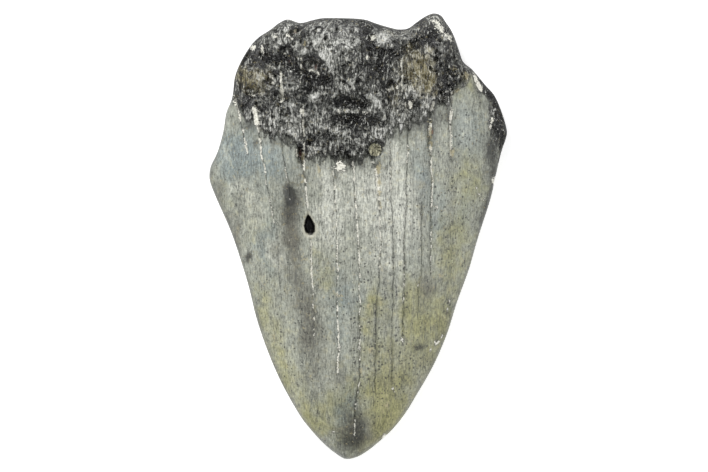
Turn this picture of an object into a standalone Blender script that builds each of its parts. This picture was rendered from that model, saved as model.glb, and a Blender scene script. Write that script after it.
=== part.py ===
"""A fossil megalodon tooth, worn by water, lying on its flatter face with the domed face up.

It is one piece. Named values are in millimetres and the scene is in metres. Seen from above, +X is to
the right and +Y runs from the tip to the root. The origin is under the middle of the outline, on the
surface that the tooth rests on.

Each face is one grid stretched between the four sides of the outline. A grid point has a place across
(0 at the left side, 1 at the right), a place along (0 at the root, 1 at the tip), and a depth in from
the outline. The formulas below turn those three into a height. The two grids share their outer ring.
"""
import math

import bmesh
import bpy
import numpy as np

# Units and mesh
MM = 0.001
COLUMNS = 220
ROWS = 250
TRIANGLES = 9000
EDGE_CROWDING = 0.5

# The outline, clockwise from the left end of the root. Each side starts at a corner of the grid.
ROOT_SIDE = [
    (-22.6, 45.8), (-20.0, 47.5), (-17.9, 49.1), (-16.0, 49.8), (-13.3, 49.0), (-10.6, 49.6),
    (-8.0, 50.1), (-3.0, 50.1), (1.4, 49.8), (4.1, 48.9), (7.8, 47.8), (9.7, 47.5),
    (11.6, 47.8), (13.4, 49.1), (15.3, 50.4), (17.3, 51.2),
]
RIGHT_SIDE = [
    (19.0, 50.7), (20.2, 49.1), (21.4, 47.3), (22.3, 45.3), (23.2, 42.7), (24.2, 40.1),
    (26.4, 38.2), (29.2, 34.9), (31.4, 32.4), (33.0, 28.8), (34.1, 25.2), (34.2, 23.2),
    (33.1, 19.8), (32.4, 17.1), (31.9, 14.3), (31.2, 12.9), (31.1, 11.0), (30.0, 7.0),
    (27.6, -0.4), (25.5, -7.7), (22.8, -15.1), (20.5, -22.4), (17.3, -29.8), (13.1, -37.1),
    (10.8, -40.8),
]
TIP_SIDE = [
    (7.8, -44.5), (3.8, -48.1), (1.2, -50.0), (-0.7, -50.9), (-2.3, -51.2), (-3.8, -50.8),
    (-7.4, -48.1),
]
LEFT_SIDE = [
    (-10.8, -44.5), (-13.6, -40.8), (-17.7, -33.5), (-20.9, -26.1), (-23.4, -18.7),
    (-25.2, -11.4), (-27.4, -4.2), (-29.4, 1.5), (-32.6, 8.8), (-34.0, 12.4), (-34.2, 14.4),
    (-33.8, 16.4), (-32.3, 19.6), (-31.0, 24.2), (-30.3, 28.4), (-28.9, 32.0), (-28.3, 36.5),
    (-26.9, 40.1), (-24.6, 43.8),
]

# Thickness. Heights are above the plane of the edge, depths below it.
DOME_AT_ROOT = 12.8
DOME_AT_TIP = 4.2
BELLY_AT_ROOT = 2.8
BELLY_AT_TIP = 1.4
BLADE_EDGE = 0.8
ROOT_EDGE_ABOVE = 3.0
ROOT_EDGE_BELOW = 1.8
ROOT_EDGE_FADES_BY = 0.28
ROOT_END_SHARE = 0.2
TIP_END_SHARE = 0.16
REST_DEPTH = 0.25
ROOT_LIFT = 1.1
TIP_LIFT = 1.3
MIDDLE = 0.52

# Where the enamel ends: on the domed face, on the flat face, and down the broken right edge
DOMED_ENAMEL_END = [
    (-36.0, 36.0), (-28.8, 31.6), (-25.5, 26.8), (-22.8, 26.1), (-21.4, 23.3), (-17.9, 22.7),
    (-14.5, 21.3), (-13.3, 17.6), (-11.0, 16.2), (-6.2, 16.7), (-1.2, 17.4), (2.3, 18.3),
    (5.1, 19.9), (6.4, 23.3), (11.3, 25.4), (16.8, 26.8), (20.2, 28.2), (21.6, 30.9),
    (23.7, 34.4), (26.5, 37.5), (36.0, 60.0),
]
FLAT_ENAMEL_END = [
    (-36.0, 33.0), (-29.0, 31.6), (-22.0, 34.6), (-15.0, 33.6), (-9.0, 31.2), (-3.0, 31.8),
    (1.0, 29.8), (7.0, 30.4), (12.0, 33.2), (17.0, 33.8), (21.0, 36.4), (26.5, 38.0),
    (36.0, 60.0),
]
RIGHT_ENAMEL_END = [
    (13.9, 34.0), (19.9, 32.3), (21.5, 31.5), (24.8, 30.4), (28.6, 30.5), (31.4, 30.3),
    (33.2, 28.2), (38.5, 25.9), (42.0, 26.5),
]
ENAMEL_STEP = 0.35

# Knobs and hollows in the root: centre, half lengths, turn in degrees, height
SWELLINGS = [
    (-16.0, 46.5, 3.2, 2.6, 0.0, 0.9),
    (17.4, 47.6, 3.4, 3.0, -30.0, 1.0),
    (-4.5, 44.5, 6.0, 4.0, 0.0, 0.9),
    (-10.3, 31.4, 2.6, 2.0, 25.0, 0.9),
    (4.6, 32.0, 3.0, 1.6, -50.0, 0.8),
    (-2.5, 33.4, 3.4, 1.8, 0.0, 0.6),
    (-7.0, 24.5, 4.5, 4.0, 0.0, 0.5),
    (14.0, 37.5, 4.5, 7.0, 0.0, 0.7),
    (-22.0, 41.0, 8.0, 1.5, 12.0, -1.2),
    (-10.8, 33.9, 2.6, 1.0, 35.0, -1.2),
    (-1.2, 29.0, 4.6, 1.4, 0.0, -1.4),
    (3.4, 43.6, 2.4, 3.2, 0.0, -1.3),
    (6.0, 39.6, 4.2, 1.8, -12.0, -1.0),
    (20.0, 36.0, 2.0, 6.0, -10.0, -0.7),
]

# Pits: centre, half lengths, turn in degrees, depth
PITS = [
    (-13.9, 46.4, 1.3, 1.2, 0.0, 1.1),
    (-16.6, 42.0, 1.7, 1.5, 20.0, 1.4),
    (-10.2, 38.6, 2.3, 2.1, -20.0, 2.0),
    (-18.9, 35.6, 1.8, 1.6, 0.0, 1.3),
    (-24.4, 33.4, 1.6, 1.6, 0.0, 1.3),
    (-17.8, 31.9, 1.7, 1.3, 0.0, 1.2),
    (-9.0, 47.0, 1.0, 0.8, 0.0, 0.8),
    (3.4, 45.2, 1.6, 1.3, -30.0, 1.0),
    (6.7, 33.4, 1.5, 1.1, -35.0, 1.0),
    (-13.1, 19.6, 1.3, 2.6, 0.0, 1.6),
    (3.8, 19.6, 2.1, 2.1, 0.0, 0.9),
    (12.2, 30.0, 1.0, 1.3, 0.0, 0.5),
    (-15.5, 10.2, 1.6, 2.8, 8.0, 0.5),
    (16.2, 19.2, 0.9, 3.2, 0.0, 0.6),
]

# Cracks that run from the root toward the tip on the domed face, and a few on the flat face
CRACKS = [
    [(-28.6, 32.4), (-27.4, 28.4), (-26.2, 23.3), (-25.5, 19.7), (-25.1, 15.8)],
    [
        (-23.5, 29.3), (-22.8, 25.2), (-22.0, 19.7), (-21.3, 15.5), (-20.4, 10.0), (-19.5, 5.9),
        (-18.9, 2.0),
    ],
    [(-17.5, 37.8), (-17.2, 31.5)],
    [(-17.9, 22.5), (-16.5, 15.5), (-15.8, 12.0), (-15.4, 7.5)],
    [
        (-13.0, 35.8), (-12.6, 30.0), (-12.4, 22.5), (-12.4, 15.5), (-12.0, 11.0), (-11.4, 5.0),
        (-10.9, -1.0), (-10.6, -8.0), (-10.1, -18.4), (-10.1, -24.0),
    ],
    [(-6.0, 17.0), (-5.6, 12.0), (-5.0, 6.0), (-4.7, -8.0), (-4.9, -12.0), (-4.5, -25.0), (-4.8, -32.0)],
    [
        (-1.3, 17.5), (-0.9, 12.8), (-0.2, 1.7), (0.2, -5.2), (0.3, -12.0), (0.3, -25.0),
        (0.4, -32.0), (-0.6, -38.5), (-1.0, -47.0),
    ],
    [
        (4.2, 18.0), (4.8, 12.8), (4.9, 7.0), (5.2, -1.0), (4.9, -10.0), (4.1, -15.0),
        (4.0, -25.0), (3.8, -36.5),
    ],
    [(7.2, 21.5), (7.7, 6.0), (8.1, -6.6), (7.9, -15.0), (7.7, -22.0), (7.7, -34.0)],
    [(11.4, 27.0), (11.4, 19.7), (10.9, 11.4), (11.1, 6.0), (10.4, -1.0), (10.6, -11.4), (10.1, -23.5)],
    [(16.5, 28.2), (16.1, 19.7), (16.5, 12.8), (16.6, 6.0), (16.6, -3.0), (16.5, -9.0)],
    [(21.3, 34.3), (21.2, 26.7), (21.3, 19.7), (21.4, 15.0)],
    [(14.4, 2.0), (14.6, -6.6), (13.8, -12.0), (13.7, -17.5)],
]
FLAT_FACE_CRACKS = [
    [(-18.0, 33.0), (-17.0, 20.0), (-15.5, 6.0), (-14.0, -6.0)],
    [(-9.0, 32.5), (-8.6, 14.0), (-7.4, -4.0), (-6.5, -24.0), (-4.6, -36.0)],
    [(0.5, 31.0), (0.8, 10.0), (0.2, -12.0), (-0.4, -32.0)],
    [(8.5, 32.0), (8.2, 12.0), (7.4, -6.0), (6.2, -22.0)],
    [(17.0, 34.5), (16.6, 18.0), (15.2, 2.0)],
]
CRACK_HALF_WIDTH = 0.4
CRACK_DEPTH = 0.3

# The bored hole: a drop shape with its point toward the root
HOLE_CENTRE = (-11.1, 2.7)
HOLE_HALF_WIDTH = 1.25
HOLE_HALF_LENGTH = 2.3
HOLE_DEPTH = 4.0
HOLE_TURN = 8.0
HOLE_POINT_SHARE = 0.55


def smoothstep(start, end, value):
    """Rises from 0 at start to 1 at end, level at both."""
    t = np.clip((value - start) / (end - start), 0.0, 1.0)
    return t * t * (3.0 - 2.0 * t)


def outline_sides(steps_per_span=12):
    """The four sides read from one closed Catmull-Rom curve through the outline's points."""
    sides = [ROOT_SIDE, RIGHT_SIDE, TIP_SIDE, LEFT_SIDE]
    knots = np.array([point for side in sides for point in side])
    before = np.roll(knots, 1, axis=0)
    after = np.roll(knots, -1, axis=0)
    beyond = np.roll(knots, -2, axis=0)
    t = (np.arange(steps_per_span) / steps_per_span)[:, None, None]
    curve = 0.5 * (
        2 * knots
        + (after - before) * t
        + (2 * before - 5 * knots + 4 * after - beyond) * t**2
        + (3 * knots - before - 3 * after + beyond) * t**3
    )
    ring = curve.transpose(1, 0, 2).reshape(-1, 2)
    starts = np.cumsum([0] + [len(side) * steps_per_span for side in sides])
    closed = np.vstack([ring, ring[:1]])
    root, right, tip, left = [closed[a:b + 1] for a, b in zip(starts, starts[1:])]
    return root, right, tip[::-1], left[::-1]


def along_side(side, share):
    """Points at these shares of the side's length."""
    steps = np.hypot(*np.diff(side, axis=0).T)
    length = np.concatenate([[0.0], np.cumsum(steps)])
    return np.stack([np.interp(share * length[-1], length, side[:, k]) for k in (0, 1)], axis=-1)


def crowded(count):
    """Places from 0 to 1 that lie closer together near both ends, where the edge is rounded."""
    even = np.linspace(0.0, 1.0, count)
    return (1 - EDGE_CROWDING) * even + EDGE_CROWDING * (0.5 - 0.5 * np.cos(math.pi * even))


def face_plan(across, along):
    """The grid seen from above: a surface patch spanned between the four sides of the outline."""
    root, right, tip, left = outline_sides()
    a = across[None, :, None]
    b = along[:, None, None]
    top = along_side(root, across)[None]
    bottom = along_side(tip, across)[None]
    start = along_side(left, along)[:, None]
    end = along_side(right, along)[:, None]
    corners = (1 - a) * (1 - b) * root[0] + a * (1 - b) * root[-1] + (1 - a) * b * tip[0] + a * b * tip[-1]
    return (1 - b) * top + b * bottom + (1 - a) * start + a * end - corners


def depth_inside(plan):
    """Distance in from the outline of each point of the plan."""
    ring = np.vstack([side if k < 2 else side[::-1] for k, side in enumerate(outline_sides())])
    return distance_to(plan[..., 0], plan[..., 1], ring[::3])


def distance_to(x, y, path):
    """Distance of each point from a line of straight pieces."""
    nearest = np.full(x.shape, 1e9)
    for (x0, y0), (x1, y1) in zip(path[:-1], path[1:]):
        length_squared = (x1 - x0) ** 2 + (y1 - y0) ** 2 + 1e-12
        t = np.clip(((x - x0) * (x1 - x0) + (y - y0) * (y1 - y0)) / length_squared, 0.0, 1.0)
        nearest = np.minimum(nearest, np.hypot(x - x0 - t * (x1 - x0), y - y0 - t * (y1 - y0)))
    return nearest


def noise(x, y, cell_x, cell_y, seed):
    """Smooth noise from -1 to 1, with lumps about one cell wide: each corner of a cell has a slope."""
    u = x / cell_x
    v = y / cell_y
    column = np.floor(u)
    row = np.floor(v)
    fu = u - column
    fv = v - row

    def slope(dc, dr):
        turn = np.sin((column + dc) * 127.1 + (row + dr) * 311.7 + seed * 74.7) * 43758.5453
        angle = 2 * math.pi * (turn - np.floor(turn))
        return np.cos(angle) * (fu - dc) + np.sin(angle) * (fv - dr)

    wu = fu * fu * fu * (fu * (fu * 6 - 15) + 10)
    wv = fv * fv * fv * (fv * (fv * 6 - 15) + 10)
    near = slope(0, 0) * (1 - wu) + slope(1, 0) * wu
    far = slope(0, 1) * (1 - wu) + slope(1, 1) * wu
    return 1.5 * (near * (1 - wv) + far * wv)


def into_root(x, y, enamel_end):
    """How far past the end of the enamel a point lies, in mm. It is negative on the enamel."""
    line = np.array(enamel_end)
    edge = np.array(RIGHT_ENAMEL_END)
    past_line = y - np.interp(x, line[:, 0], line[:, 1])
    past_edge = x - np.interp(y, edge[:, 0], edge[:, 1], left=60.0, right=60.0)
    return np.maximum(past_line, past_edge)


def oval(x, y, centre_x, centre_y, half_x, half_y, turn):
    """Distance from the centre of a turned oval, as a share: 1 on its rim."""
    angle = math.radians(turn)
    dx = x - centre_x
    dy = y - centre_y
    u = (dx * math.cos(angle) + dy * math.sin(angle)) / half_x
    v = (dy * math.cos(angle) - dx * math.sin(angle)) / half_y
    return np.hypot(u, v)


def rounded_edge(depth, radius):
    """A quarter circle that starts upright at the outline and is level one radius in."""
    return radius * np.sqrt(1.0 - (1.0 - np.clip(depth / radius, 0.0, 1.0)) ** 2)


def fullness(across, along, side_power, end_power):
    """0 at the outline and 1 in the middle. It blends the curves of the sides and of both ends."""
    side = 1.0 - np.abs(2 * across - 1) ** side_power
    root_end = 1.0 - (1.0 - np.clip(along / ROOT_END_SHARE, 0.0, 1.0)) ** end_power
    tip_end = 1.0 - (1.0 - np.clip((1 - along) / TIP_END_SHARE, 0.0, 1.0)) ** end_power
    small = 1e-4
    total = sum(1.0 / np.maximum(curve, small) ** 2 for curve in (side, root_end, tip_end)) - 2.0
    return total**-0.5


def edge_thickness(along, root_extra):
    """Half the thickness of the edge: thin on the blade, thick where the root is broken."""
    return BLADE_EDGE + root_extra * (1.0 - smoothstep(0.0, ROOT_EDGE_FADES_BY, along))


def between(at_root, at_tip, along):
    """A thickness that falls slowly at first and faster toward the tip."""
    return at_root + (at_tip - at_root) * along**1.8


def domed_relief(x, y):
    """Lumps, knobs, pits, cracks and the enamel's step on the domed face."""
    past = into_root(x, y, DOMED_ENAMEL_END)
    root = smoothstep(-0.4, 0.8, past)
    upper = smoothstep(2.0, 9.0, past)
    height = 0.16 * noise(x, y, 13.0, 22.0, 3) - ENAMEL_STEP * root
    lumps = 0.9 * noise(x, y, 7.5, 6.5, 11) + 0.6 * noise(x, y, 3.4, 3.0, 12)
    height = height + root * (0.35 + 0.65 * upper) * lumps + root * 0.22 * noise(x, y, 1.5, 3.6, 13)
    for *shape, rise in SWELLINGS:
        height = height + rise * np.exp(-oval(x, y, *shape) ** 2)
    for *shape, depth in PITS:
        height = height - depth * (1.0 - smoothstep(0.35, 1.05, oval(x, y, *shape)))
    return height - cracks(x, y, CRACKS)


def flat_relief(x, y):
    """The same on the flat face, where the enamel reaches further up and the root is smoother."""
    root = smoothstep(-0.4, 0.8, into_root(x, y, FLAT_ENAMEL_END))
    height = 0.12 * noise(x, y, 15.0, 24.0, 5) - ENAMEL_STEP * root
    height = height + root * (0.5 * noise(x, y, 6.5, 5.5, 21) + 0.3 * noise(x, y, 2.8, 3.0, 22))
    return height - cracks(x, y, FLAT_FACE_CRACKS)


def cracks(x, y, paths):
    """Depth of the shallow grooves that the cracks have worn into."""
    depth = np.zeros(x.shape)
    for path in paths:
        off = np.clip(distance_to(x, y, path) / CRACK_HALF_WIDTH, 0.0, 1.0)
        depth = np.maximum(depth, CRACK_DEPTH * (1.0 - off**2) ** 2)
    return depth


def tooth_heights(plan, across, along):
    """Heights of the domed face and of the flat face over the plan."""
    a = across[None, :]
    b = along[:, None]
    x = plan[..., 0]
    y = plan[..., 1]
    depth = depth_inside(plan)
    fade = smoothstep(0.0, 1.6, depth)
    edge_above = edge_thickness(b, ROOT_EDGE_ABOVE)
    edge_below = edge_thickness(b, ROOT_EDGE_BELOW)
    belly = between(BELLY_AT_ROOT, BELLY_AT_TIP, b)
    root_lift = ROOT_LIFT * np.clip(1 - b / MIDDLE, 0.0, 1.0) ** 2
    tip_lift = TIP_LIFT * np.clip((b - MIDDLE) / (1 - MIDDLE), 0.0, 1.0) ** 2
    edge_plane = root_lift + tip_lift - REST_DEPTH + edge_below + belly
    dome = between(DOME_AT_ROOT, DOME_AT_TIP, b) * fullness(a, b, 2.3, 2.2)
    above = rounded_edge(depth, edge_above) + dome + fade * domed_relief(x, y)
    below = rounded_edge(depth, edge_below) + belly * fullness(a, b, 3.0, 2.0) + fade * flat_relief(x, y)
    return edge_plane + above, edge_plane - below


def quads(index):
    """The four corners of each cell of a grid of point numbers, turned so that the face points up."""
    corners = (index[:-1, :-1], index[1:, :-1], index[1:, 1:], index[:-1, 1:])
    return np.stack([corner.ravel() for corner in corners], axis=1)


def tooth_mesh():
    """The two faces as one closed mesh, sharing the points of the outline."""
    across = crowded(COLUMNS)
    along = crowded(ROWS)
    plan = face_plan(across, along)
    high, low = tooth_heights(plan, across, along)
    upper = np.concatenate([plan, high[..., None]], axis=-1)
    lower = np.concatenate([plan, low[..., None]], axis=-1)[1:-1, 1:-1]
    upper_index = np.arange(ROWS * COLUMNS).reshape(ROWS, COLUMNS)
    lower_index = upper_index.copy()
    inner = np.arange((ROWS - 2) * (COLUMNS - 2)).reshape(ROWS - 2, COLUMNS - 2)
    lower_index[1:-1, 1:-1] = ROWS * COLUMNS + inner
    points = np.concatenate([upper.reshape(-1, 3), lower.reshape(-1, 3)]) * MM
    faces = np.concatenate([quads(upper_index), quads(lower_index)[:, ::-1]])
    mesh = bpy.data.meshes.new("tooth")
    mesh.from_pydata(points.tolist(), [], faces.tolist())
    mesh.shade_smooth()
    return mesh


def place(name, mesh):
    """A new object in the scene that holds this mesh."""
    thing = bpy.data.objects.new(name, mesh)
    bpy.context.scene.collection.objects.link(thing)
    return thing


def as_cutter(thing):
    """Keeps a helper out of renders and draws it as wires."""
    thing.hide_render = True
    thing.display_type = "WIRE"
    return thing


def rest_cutter():
    """A slab whose top is the surface that the tooth rests on. It cuts the small flat spot."""
    mesh = bpy.data.meshes.new("rest_cutter")
    slab = bmesh.new()
    bmesh.ops.create_cube(slab, size=1.0)
    bmesh.ops.scale(slab, vec=(100 * MM, 140 * MM, 10 * MM), verts=slab.verts)
    bmesh.ops.translate(slab, vec=(0.0, 0.0, -5 * MM), verts=slab.verts)
    slab.to_mesh(mesh)
    slab.free()
    return as_cutter(place("rest_cutter", mesh))


def hole_cutter(surface_height):
    """A drop-shaped plug, round at its lower end and pointed toward the root, sunk into the domed face."""
    mesh = bpy.data.meshes.new("hole_cutter")
    plug = bmesh.new()
    bmesh.ops.create_uvsphere(plug, u_segments=20, v_segments=12, radius=1.0)
    for vert in plug.verts:
        taper = 1.0 - HOLE_POINT_SHARE * max(vert.co.y, 0.0)
        vert.co.x *= HOLE_HALF_WIDTH * MM * taper
        vert.co.y *= HOLE_HALF_LENGTH * MM
        vert.co.z *= HOLE_DEPTH * MM
    plug.to_mesh(mesh)
    plug.free()
    cutter = as_cutter(place("hole_cutter", mesh))
    cutter.location = (HOLE_CENTRE[0] * MM, HOLE_CENTRE[1] * MM, surface_height)
    cutter.rotation_euler.z = math.radians(HOLE_TURN)
    return cutter


def height_at(mesh, x, y):
    """Height of the domed face over a point, in metres."""
    points = np.empty(len(mesh.vertices) * 3)
    mesh.vertices.foreach_get("co", points)
    upper = points.reshape(-1, 3)[:ROWS * COLUMNS]
    nearest = np.argmin(np.hypot(upper[:, 0] - x * MM, upper[:, 1] - y * MM))
    return float(upper[nearest, 2])


def cut(thing, cutter):
    """Takes the cutter's shape out of the thing."""
    boolean = thing.modifiers.new(cutter.name, "BOOLEAN")
    boolean.operation = "DIFFERENCE"
    boolean.solver = "EXACT"
    boolean.object = cutter


def thin_out(thing, triangles):
    """Takes points away where the surface is smooth, and so keeps them for pits, lumps and cracks."""
    decimate = thing.modifiers.new("thin_out", "DECIMATE")
    decimate.decimate_type = "COLLAPSE"
    decimate.ratio = triangles / (2 * len(thing.data.polygons))


def fossil_material():
    """Phosphate stone: grey-green enamel, worn to a dull polish."""
    material = bpy.data.materials.new("fossil_enamel")
    material.use_nodes = True
    shader = material.node_tree.nodes["Principled BSDF"]
    shader.inputs["Base Color"].default_value = (0.32, 0.33, 0.27, 1.0)
    shader.inputs["Roughness"].default_value = 0.5
    shader.inputs["Metallic"].default_value = 0.0
    return material


def clear_scene():
    for thing in list(bpy.data.objects):
        bpy.data.objects.remove(thing, do_unlink=True)


def main():
    clear_scene()
    mesh = tooth_mesh()
    tooth = place("tooth", mesh)
    mesh.materials.append(fossil_material())
    thin_out(tooth, TRIANGLES)
    cut(tooth, hole_cutter(height_at(mesh, *HOLE_CENTRE)))
    cut(tooth, rest_cutter())


main()
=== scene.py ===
# %% [markdown]
# # A fossil megalodon tooth
#
# The object is one piece of natural stone: the tooth of a giant shark, turned to phosphate in the
# sea bed and worn by moving water. It lies on its flatter face. The grey-green crown points down in
# the picture, and the black, pitted root is at the top, where it has broken off.
#
# A natural piece has no parts to assemble, so the whole lesson is about one surface: first its shape,
# then maps that say where each stain, crack and pit lies, then one stone finish that reads the maps.

import math

import bpy
import numpy as np
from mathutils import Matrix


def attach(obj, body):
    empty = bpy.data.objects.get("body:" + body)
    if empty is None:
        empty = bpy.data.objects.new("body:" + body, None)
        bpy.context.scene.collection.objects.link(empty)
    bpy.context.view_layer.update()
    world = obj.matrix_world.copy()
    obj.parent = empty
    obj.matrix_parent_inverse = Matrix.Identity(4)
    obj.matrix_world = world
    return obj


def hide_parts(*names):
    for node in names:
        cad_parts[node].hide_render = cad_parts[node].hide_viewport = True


MM = 0.001
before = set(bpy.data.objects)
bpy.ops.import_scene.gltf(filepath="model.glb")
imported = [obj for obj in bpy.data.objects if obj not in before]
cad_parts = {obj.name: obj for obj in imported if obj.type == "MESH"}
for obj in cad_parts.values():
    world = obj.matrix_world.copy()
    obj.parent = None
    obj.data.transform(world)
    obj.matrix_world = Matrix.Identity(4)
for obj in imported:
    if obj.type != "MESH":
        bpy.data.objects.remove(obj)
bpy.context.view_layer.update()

# %% [markdown]
# ## The outline
#
# Seen from above the tooth is a broad, slightly lopsided wedge. Its two shoulders are worn round, the
# root end is broken into a low hump, a dip and a horn, and the tip is blunt. A smooth closed curve
# through listed points gives it: with a Catmull-Rom curve each point is on the outline, so a point is
# moved exactly where the outline should go. The curve is cut into four sides, because a grid can then be
# stretched between them.

# %% The outline's four sides
ROOT_SIDE = [
    (-22.6, 45.8), (-20, 47.5), (-17.9, 49.1), (-16, 49.8), (-13.3, 49), (-10.6, 49.6), (-8, 50.1),
    (-3, 50.1), (1.4, 49.8), (4.1, 48.9), (7.8, 47.8), (9.7, 47.5), (11.6, 47.8), (13.4, 49.1),
    (15.3, 50.4), (17.3, 51.2),
]
RIGHT_SIDE = [
    (19, 50.7), (20.2, 49.1), (21.4, 47.3), (22.3, 45.3), (23.2, 42.7), (24.2, 40.1), (26.4, 38.2),
    (29.2, 34.9), (31.4, 32.4), (33, 28.8), (34.1, 25.2), (34.2, 23.2), (33.1, 19.8), (32.4, 17.1),
    (31.8, 14.4), (31.3, 12.6), (31, 10.6), (30, 7), (27.6, -0.4), (25.5, -7.7), (22.8, -15.1),
    (20.5, -22.4), (17.3, -29.8), (13.1, -37.1), (10.8, -40.8),
]
TIP_SIDE = [
    (7.8, -44.5), (3.8, -48.1), (1.2, -50), (-0.7, -50.9), (-2.3, -51.2), (-3.8, -50.8),
    (-7.4, -48.1),
]
LEFT_SIDE = [
    (-10.8, -44.5), (-13.6, -40.8), (-17.7, -33.5), (-20.9, -26.1), (-23.4, -18.7), (-25.2, -11.4),
    (-27.4, -4.2), (-29.4, 1.5), (-32.6, 8.8), (-34, 12.4), (-34.2, 14.4), (-33.8, 16.4),
    (-32.3, 19.6), (-31, 24.2), (-30.3, 28.4), (-28.9, 32), (-28.3, 36.5), (-26.9, 40.1),
    (-24.6, 43.8),
]


def outline_sides(steps_per_span=12):
    """The four sides of one closed Catmull-Rom curve.

    Between two points a and b, with p before and q after them, the curve is half of
    2a + (b - p) t + (2p - 5a + 4b - q) t^2 + (3a - p - 3b + q) t^3, for t from 0 to 1.
    """
    sides = [ROOT_SIDE, RIGHT_SIDE, TIP_SIDE, LEFT_SIDE]
    knots = np.array([point for side in sides for point in side])
    before = np.roll(knots, 1, axis=0)
    after = np.roll(knots, -1, axis=0)
    beyond = np.roll(knots, -2, axis=0)
    t = (np.arange(steps_per_span) / steps_per_span)[:, None, None]
    curve = 0.5 * (
        2 * knots
        + (after - before) * t
        + (2 * before - 5 * knots + 4 * after - beyond) * t**2
        + (3 * knots - before - 3 * after + beyond) * t**3
    )
    ring = curve.transpose(1, 0, 2).reshape(-1, 2)
    starts = np.cumsum([0] + [len(side) * steps_per_span for side in sides])
    closed = np.vstack([ring, ring[:1]])
    root, right, tip, left = [closed[a:b + 1] for a, b in zip(starts, starts[1:])]
    return root, right, tip[::-1], left[::-1]


for name, side in zip(("root", "right", "tip", "left"), outline_sides()):
    print(f"{name} side: {np.hypot(*np.diff(side, axis=0).T).sum():.1f} mm long")

# %% [markdown]
# ## The plan grid
#
# A Coons patch fills the space between the four sides: it adds the two ways of blending opposite
# sides and takes the doubly counted corners away. Its columns run from root to tip, which is also the
# way the cracks and the enamel's fine streaks run, so narrow columns give sharp cracks for few faces.
# Rows lie closer together in the root, where the pits are.

# %% A grid stretched between the sides
COLUMNS = 341
ROWS = 232
ROOT_ROWS_SHARE = 0.56
ROOT_LENGTH_SHARE = 0.40


def along_side(side, share):
    """Points at these shares of the side's length."""
    steps = np.hypot(*np.diff(side, axis=0).T)
    length = np.concatenate([[0.0], np.cumsum(steps)])
    return np.stack([np.interp(share * length[-1], length, side[:, k]) for k in (0, 1)], axis=-1)


def crowded(count, amount):
    """Places from 0 to 1 that lie closer together at both ends: a share of a cosine, the rest even."""
    even = np.linspace(0.0, 1.0, count)
    return (1 - amount) * even + amount * (0.5 - 0.5 * np.cos(math.pi * even))


def row_places(count):
    """Crowded places, bent so that the root's share of the length holds more of the rows."""
    even = crowded(count, 0.35)
    return np.interp(even, [0.0, ROOT_ROWS_SHARE, 1.0], [0.0, ROOT_LENGTH_SHARE, 1.0])


def face_plan(across, along):
    """Blend of left and right sides, plus blend of root and tip sides, less the blend of the corners."""
    root, right, tip, left = outline_sides()
    a = across[None, :, None]
    b = along[:, None, None]
    sides = (1 - a) * along_side(left, along)[:, None] + a * along_side(right, along)[:, None]
    ends = (1 - b) * along_side(root, across)[None] + b * along_side(tip, across)[None]
    corners = (1 - a) * ((1 - b) * root[0] + b * tip[0]) + a * ((1 - b) * root[-1] + b * tip[-1])
    return sides + ends - corners


across = crowded(COLUMNS, 0.3)
along = row_places(ROWS)
plan = face_plan(across, along)
print("columns in the middle, mm apart:", round(float(np.diff(plan[ROWS // 2, :, 0]).max()), 2))

# %% [markdown]
# ## Small tools for shapes
#
# The rest of the shape is a height over each point of the plan. It is put together from a few
# building blocks: a soft step, the distance from a line, smooth noise, and a turned oval for every
# knob, pit and stain.

# %% Steps, distances, noise and ovals


def smoothstep(start, end, value):
    """3 t^2 - 2 t^3, where t goes from 0 at start to 1 at end."""
    t = np.clip((value - start) / (end - start), 0.0, 1.0)
    return t * t * (3.0 - 2.0 * t)


def distance_to(x, y, path):
    """The least distance of each point from a line of straight pieces."""
    nearest = np.full(x.shape, 1e9)
    for (x0, y0), (x1, y1) in zip(path[:-1], path[1:]):
        length_squared = (x1 - x0) ** 2 + (y1 - y0) ** 2 + 1e-12
        t = np.clip(((x - x0) * (x1 - x0) + (y - y0) * (y1 - y0)) / length_squared, 0.0, 1.0)
        nearest = np.minimum(nearest, np.hypot(x - x0 - t * (x1 - x0), y - y0 - t * (y1 - y0)))
    return nearest


def noise(x, y, cell_x, cell_y, seed):
    """Smooth noise from -1 to 1. Every corner of a cell has a slope of its own, from the fraction of a
    large sine. Inside the cell the four slopes are blended by 6 t^5 - 15 t^4 + 10 t^3."""
    u = x / cell_x
    v = y / cell_y
    column = np.floor(u)
    row = np.floor(v)
    fu = u - column
    fv = v - row

    def slope(dc, dr):
        turn = np.sin((column + dc) * 127.1 + (row + dr) * 311.7 + seed * 74.7) * 43758.5453
        angle = 2 * math.pi * (turn - np.floor(turn))
        return np.cos(angle) * (fu - dc) + np.sin(angle) * (fv - dr)

    wu = fu * fu * fu * (fu * (fu * 6 - 15) + 10)
    wv = fv * fv * fv * (fv * (fv * 6 - 15) + 10)
    near = slope(0, 0) * (1 - wu) + slope(1, 0) * wu
    far = slope(0, 1) * (1 - wu) + slope(1, 1) * wu
    return 1.5 * (near * (1 - wv) + far * wv)


def oval(x, y, centre_x, centre_y, half_x, half_y, turn=0.0):
    """Distance from the centre of a turned oval, as a share: 1 on its rim."""
    angle = math.radians(turn)
    dx = x - centre_x
    dy = y - centre_y
    u = (dx * math.cos(angle) + dy * math.sin(angle)) / half_x
    v = (dy * math.cos(angle) - dx * math.sin(angle)) / half_y
    return np.hypot(u, v)


def spots(x, y, shapes):
    """Soft spots added together: amount times exp(-(distance share)^2) for each oval."""
    total = np.zeros(x.shape)
    for *shape, amount in shapes:
        total = total + amount * np.exp(-oval(x, y, *shape) ** 2)
    return total


x = plan[..., 0]
y = plan[..., 1]
ring = np.vstack([plan[0], plan[1:, -1], plan[-1, ::-1], plan[::-1, 0]])
edge_depth = distance_to(x, y, ring[::2])
print("deepest point lies", round(float(edge_depth.max()), 1), "mm in from the outline")

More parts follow.
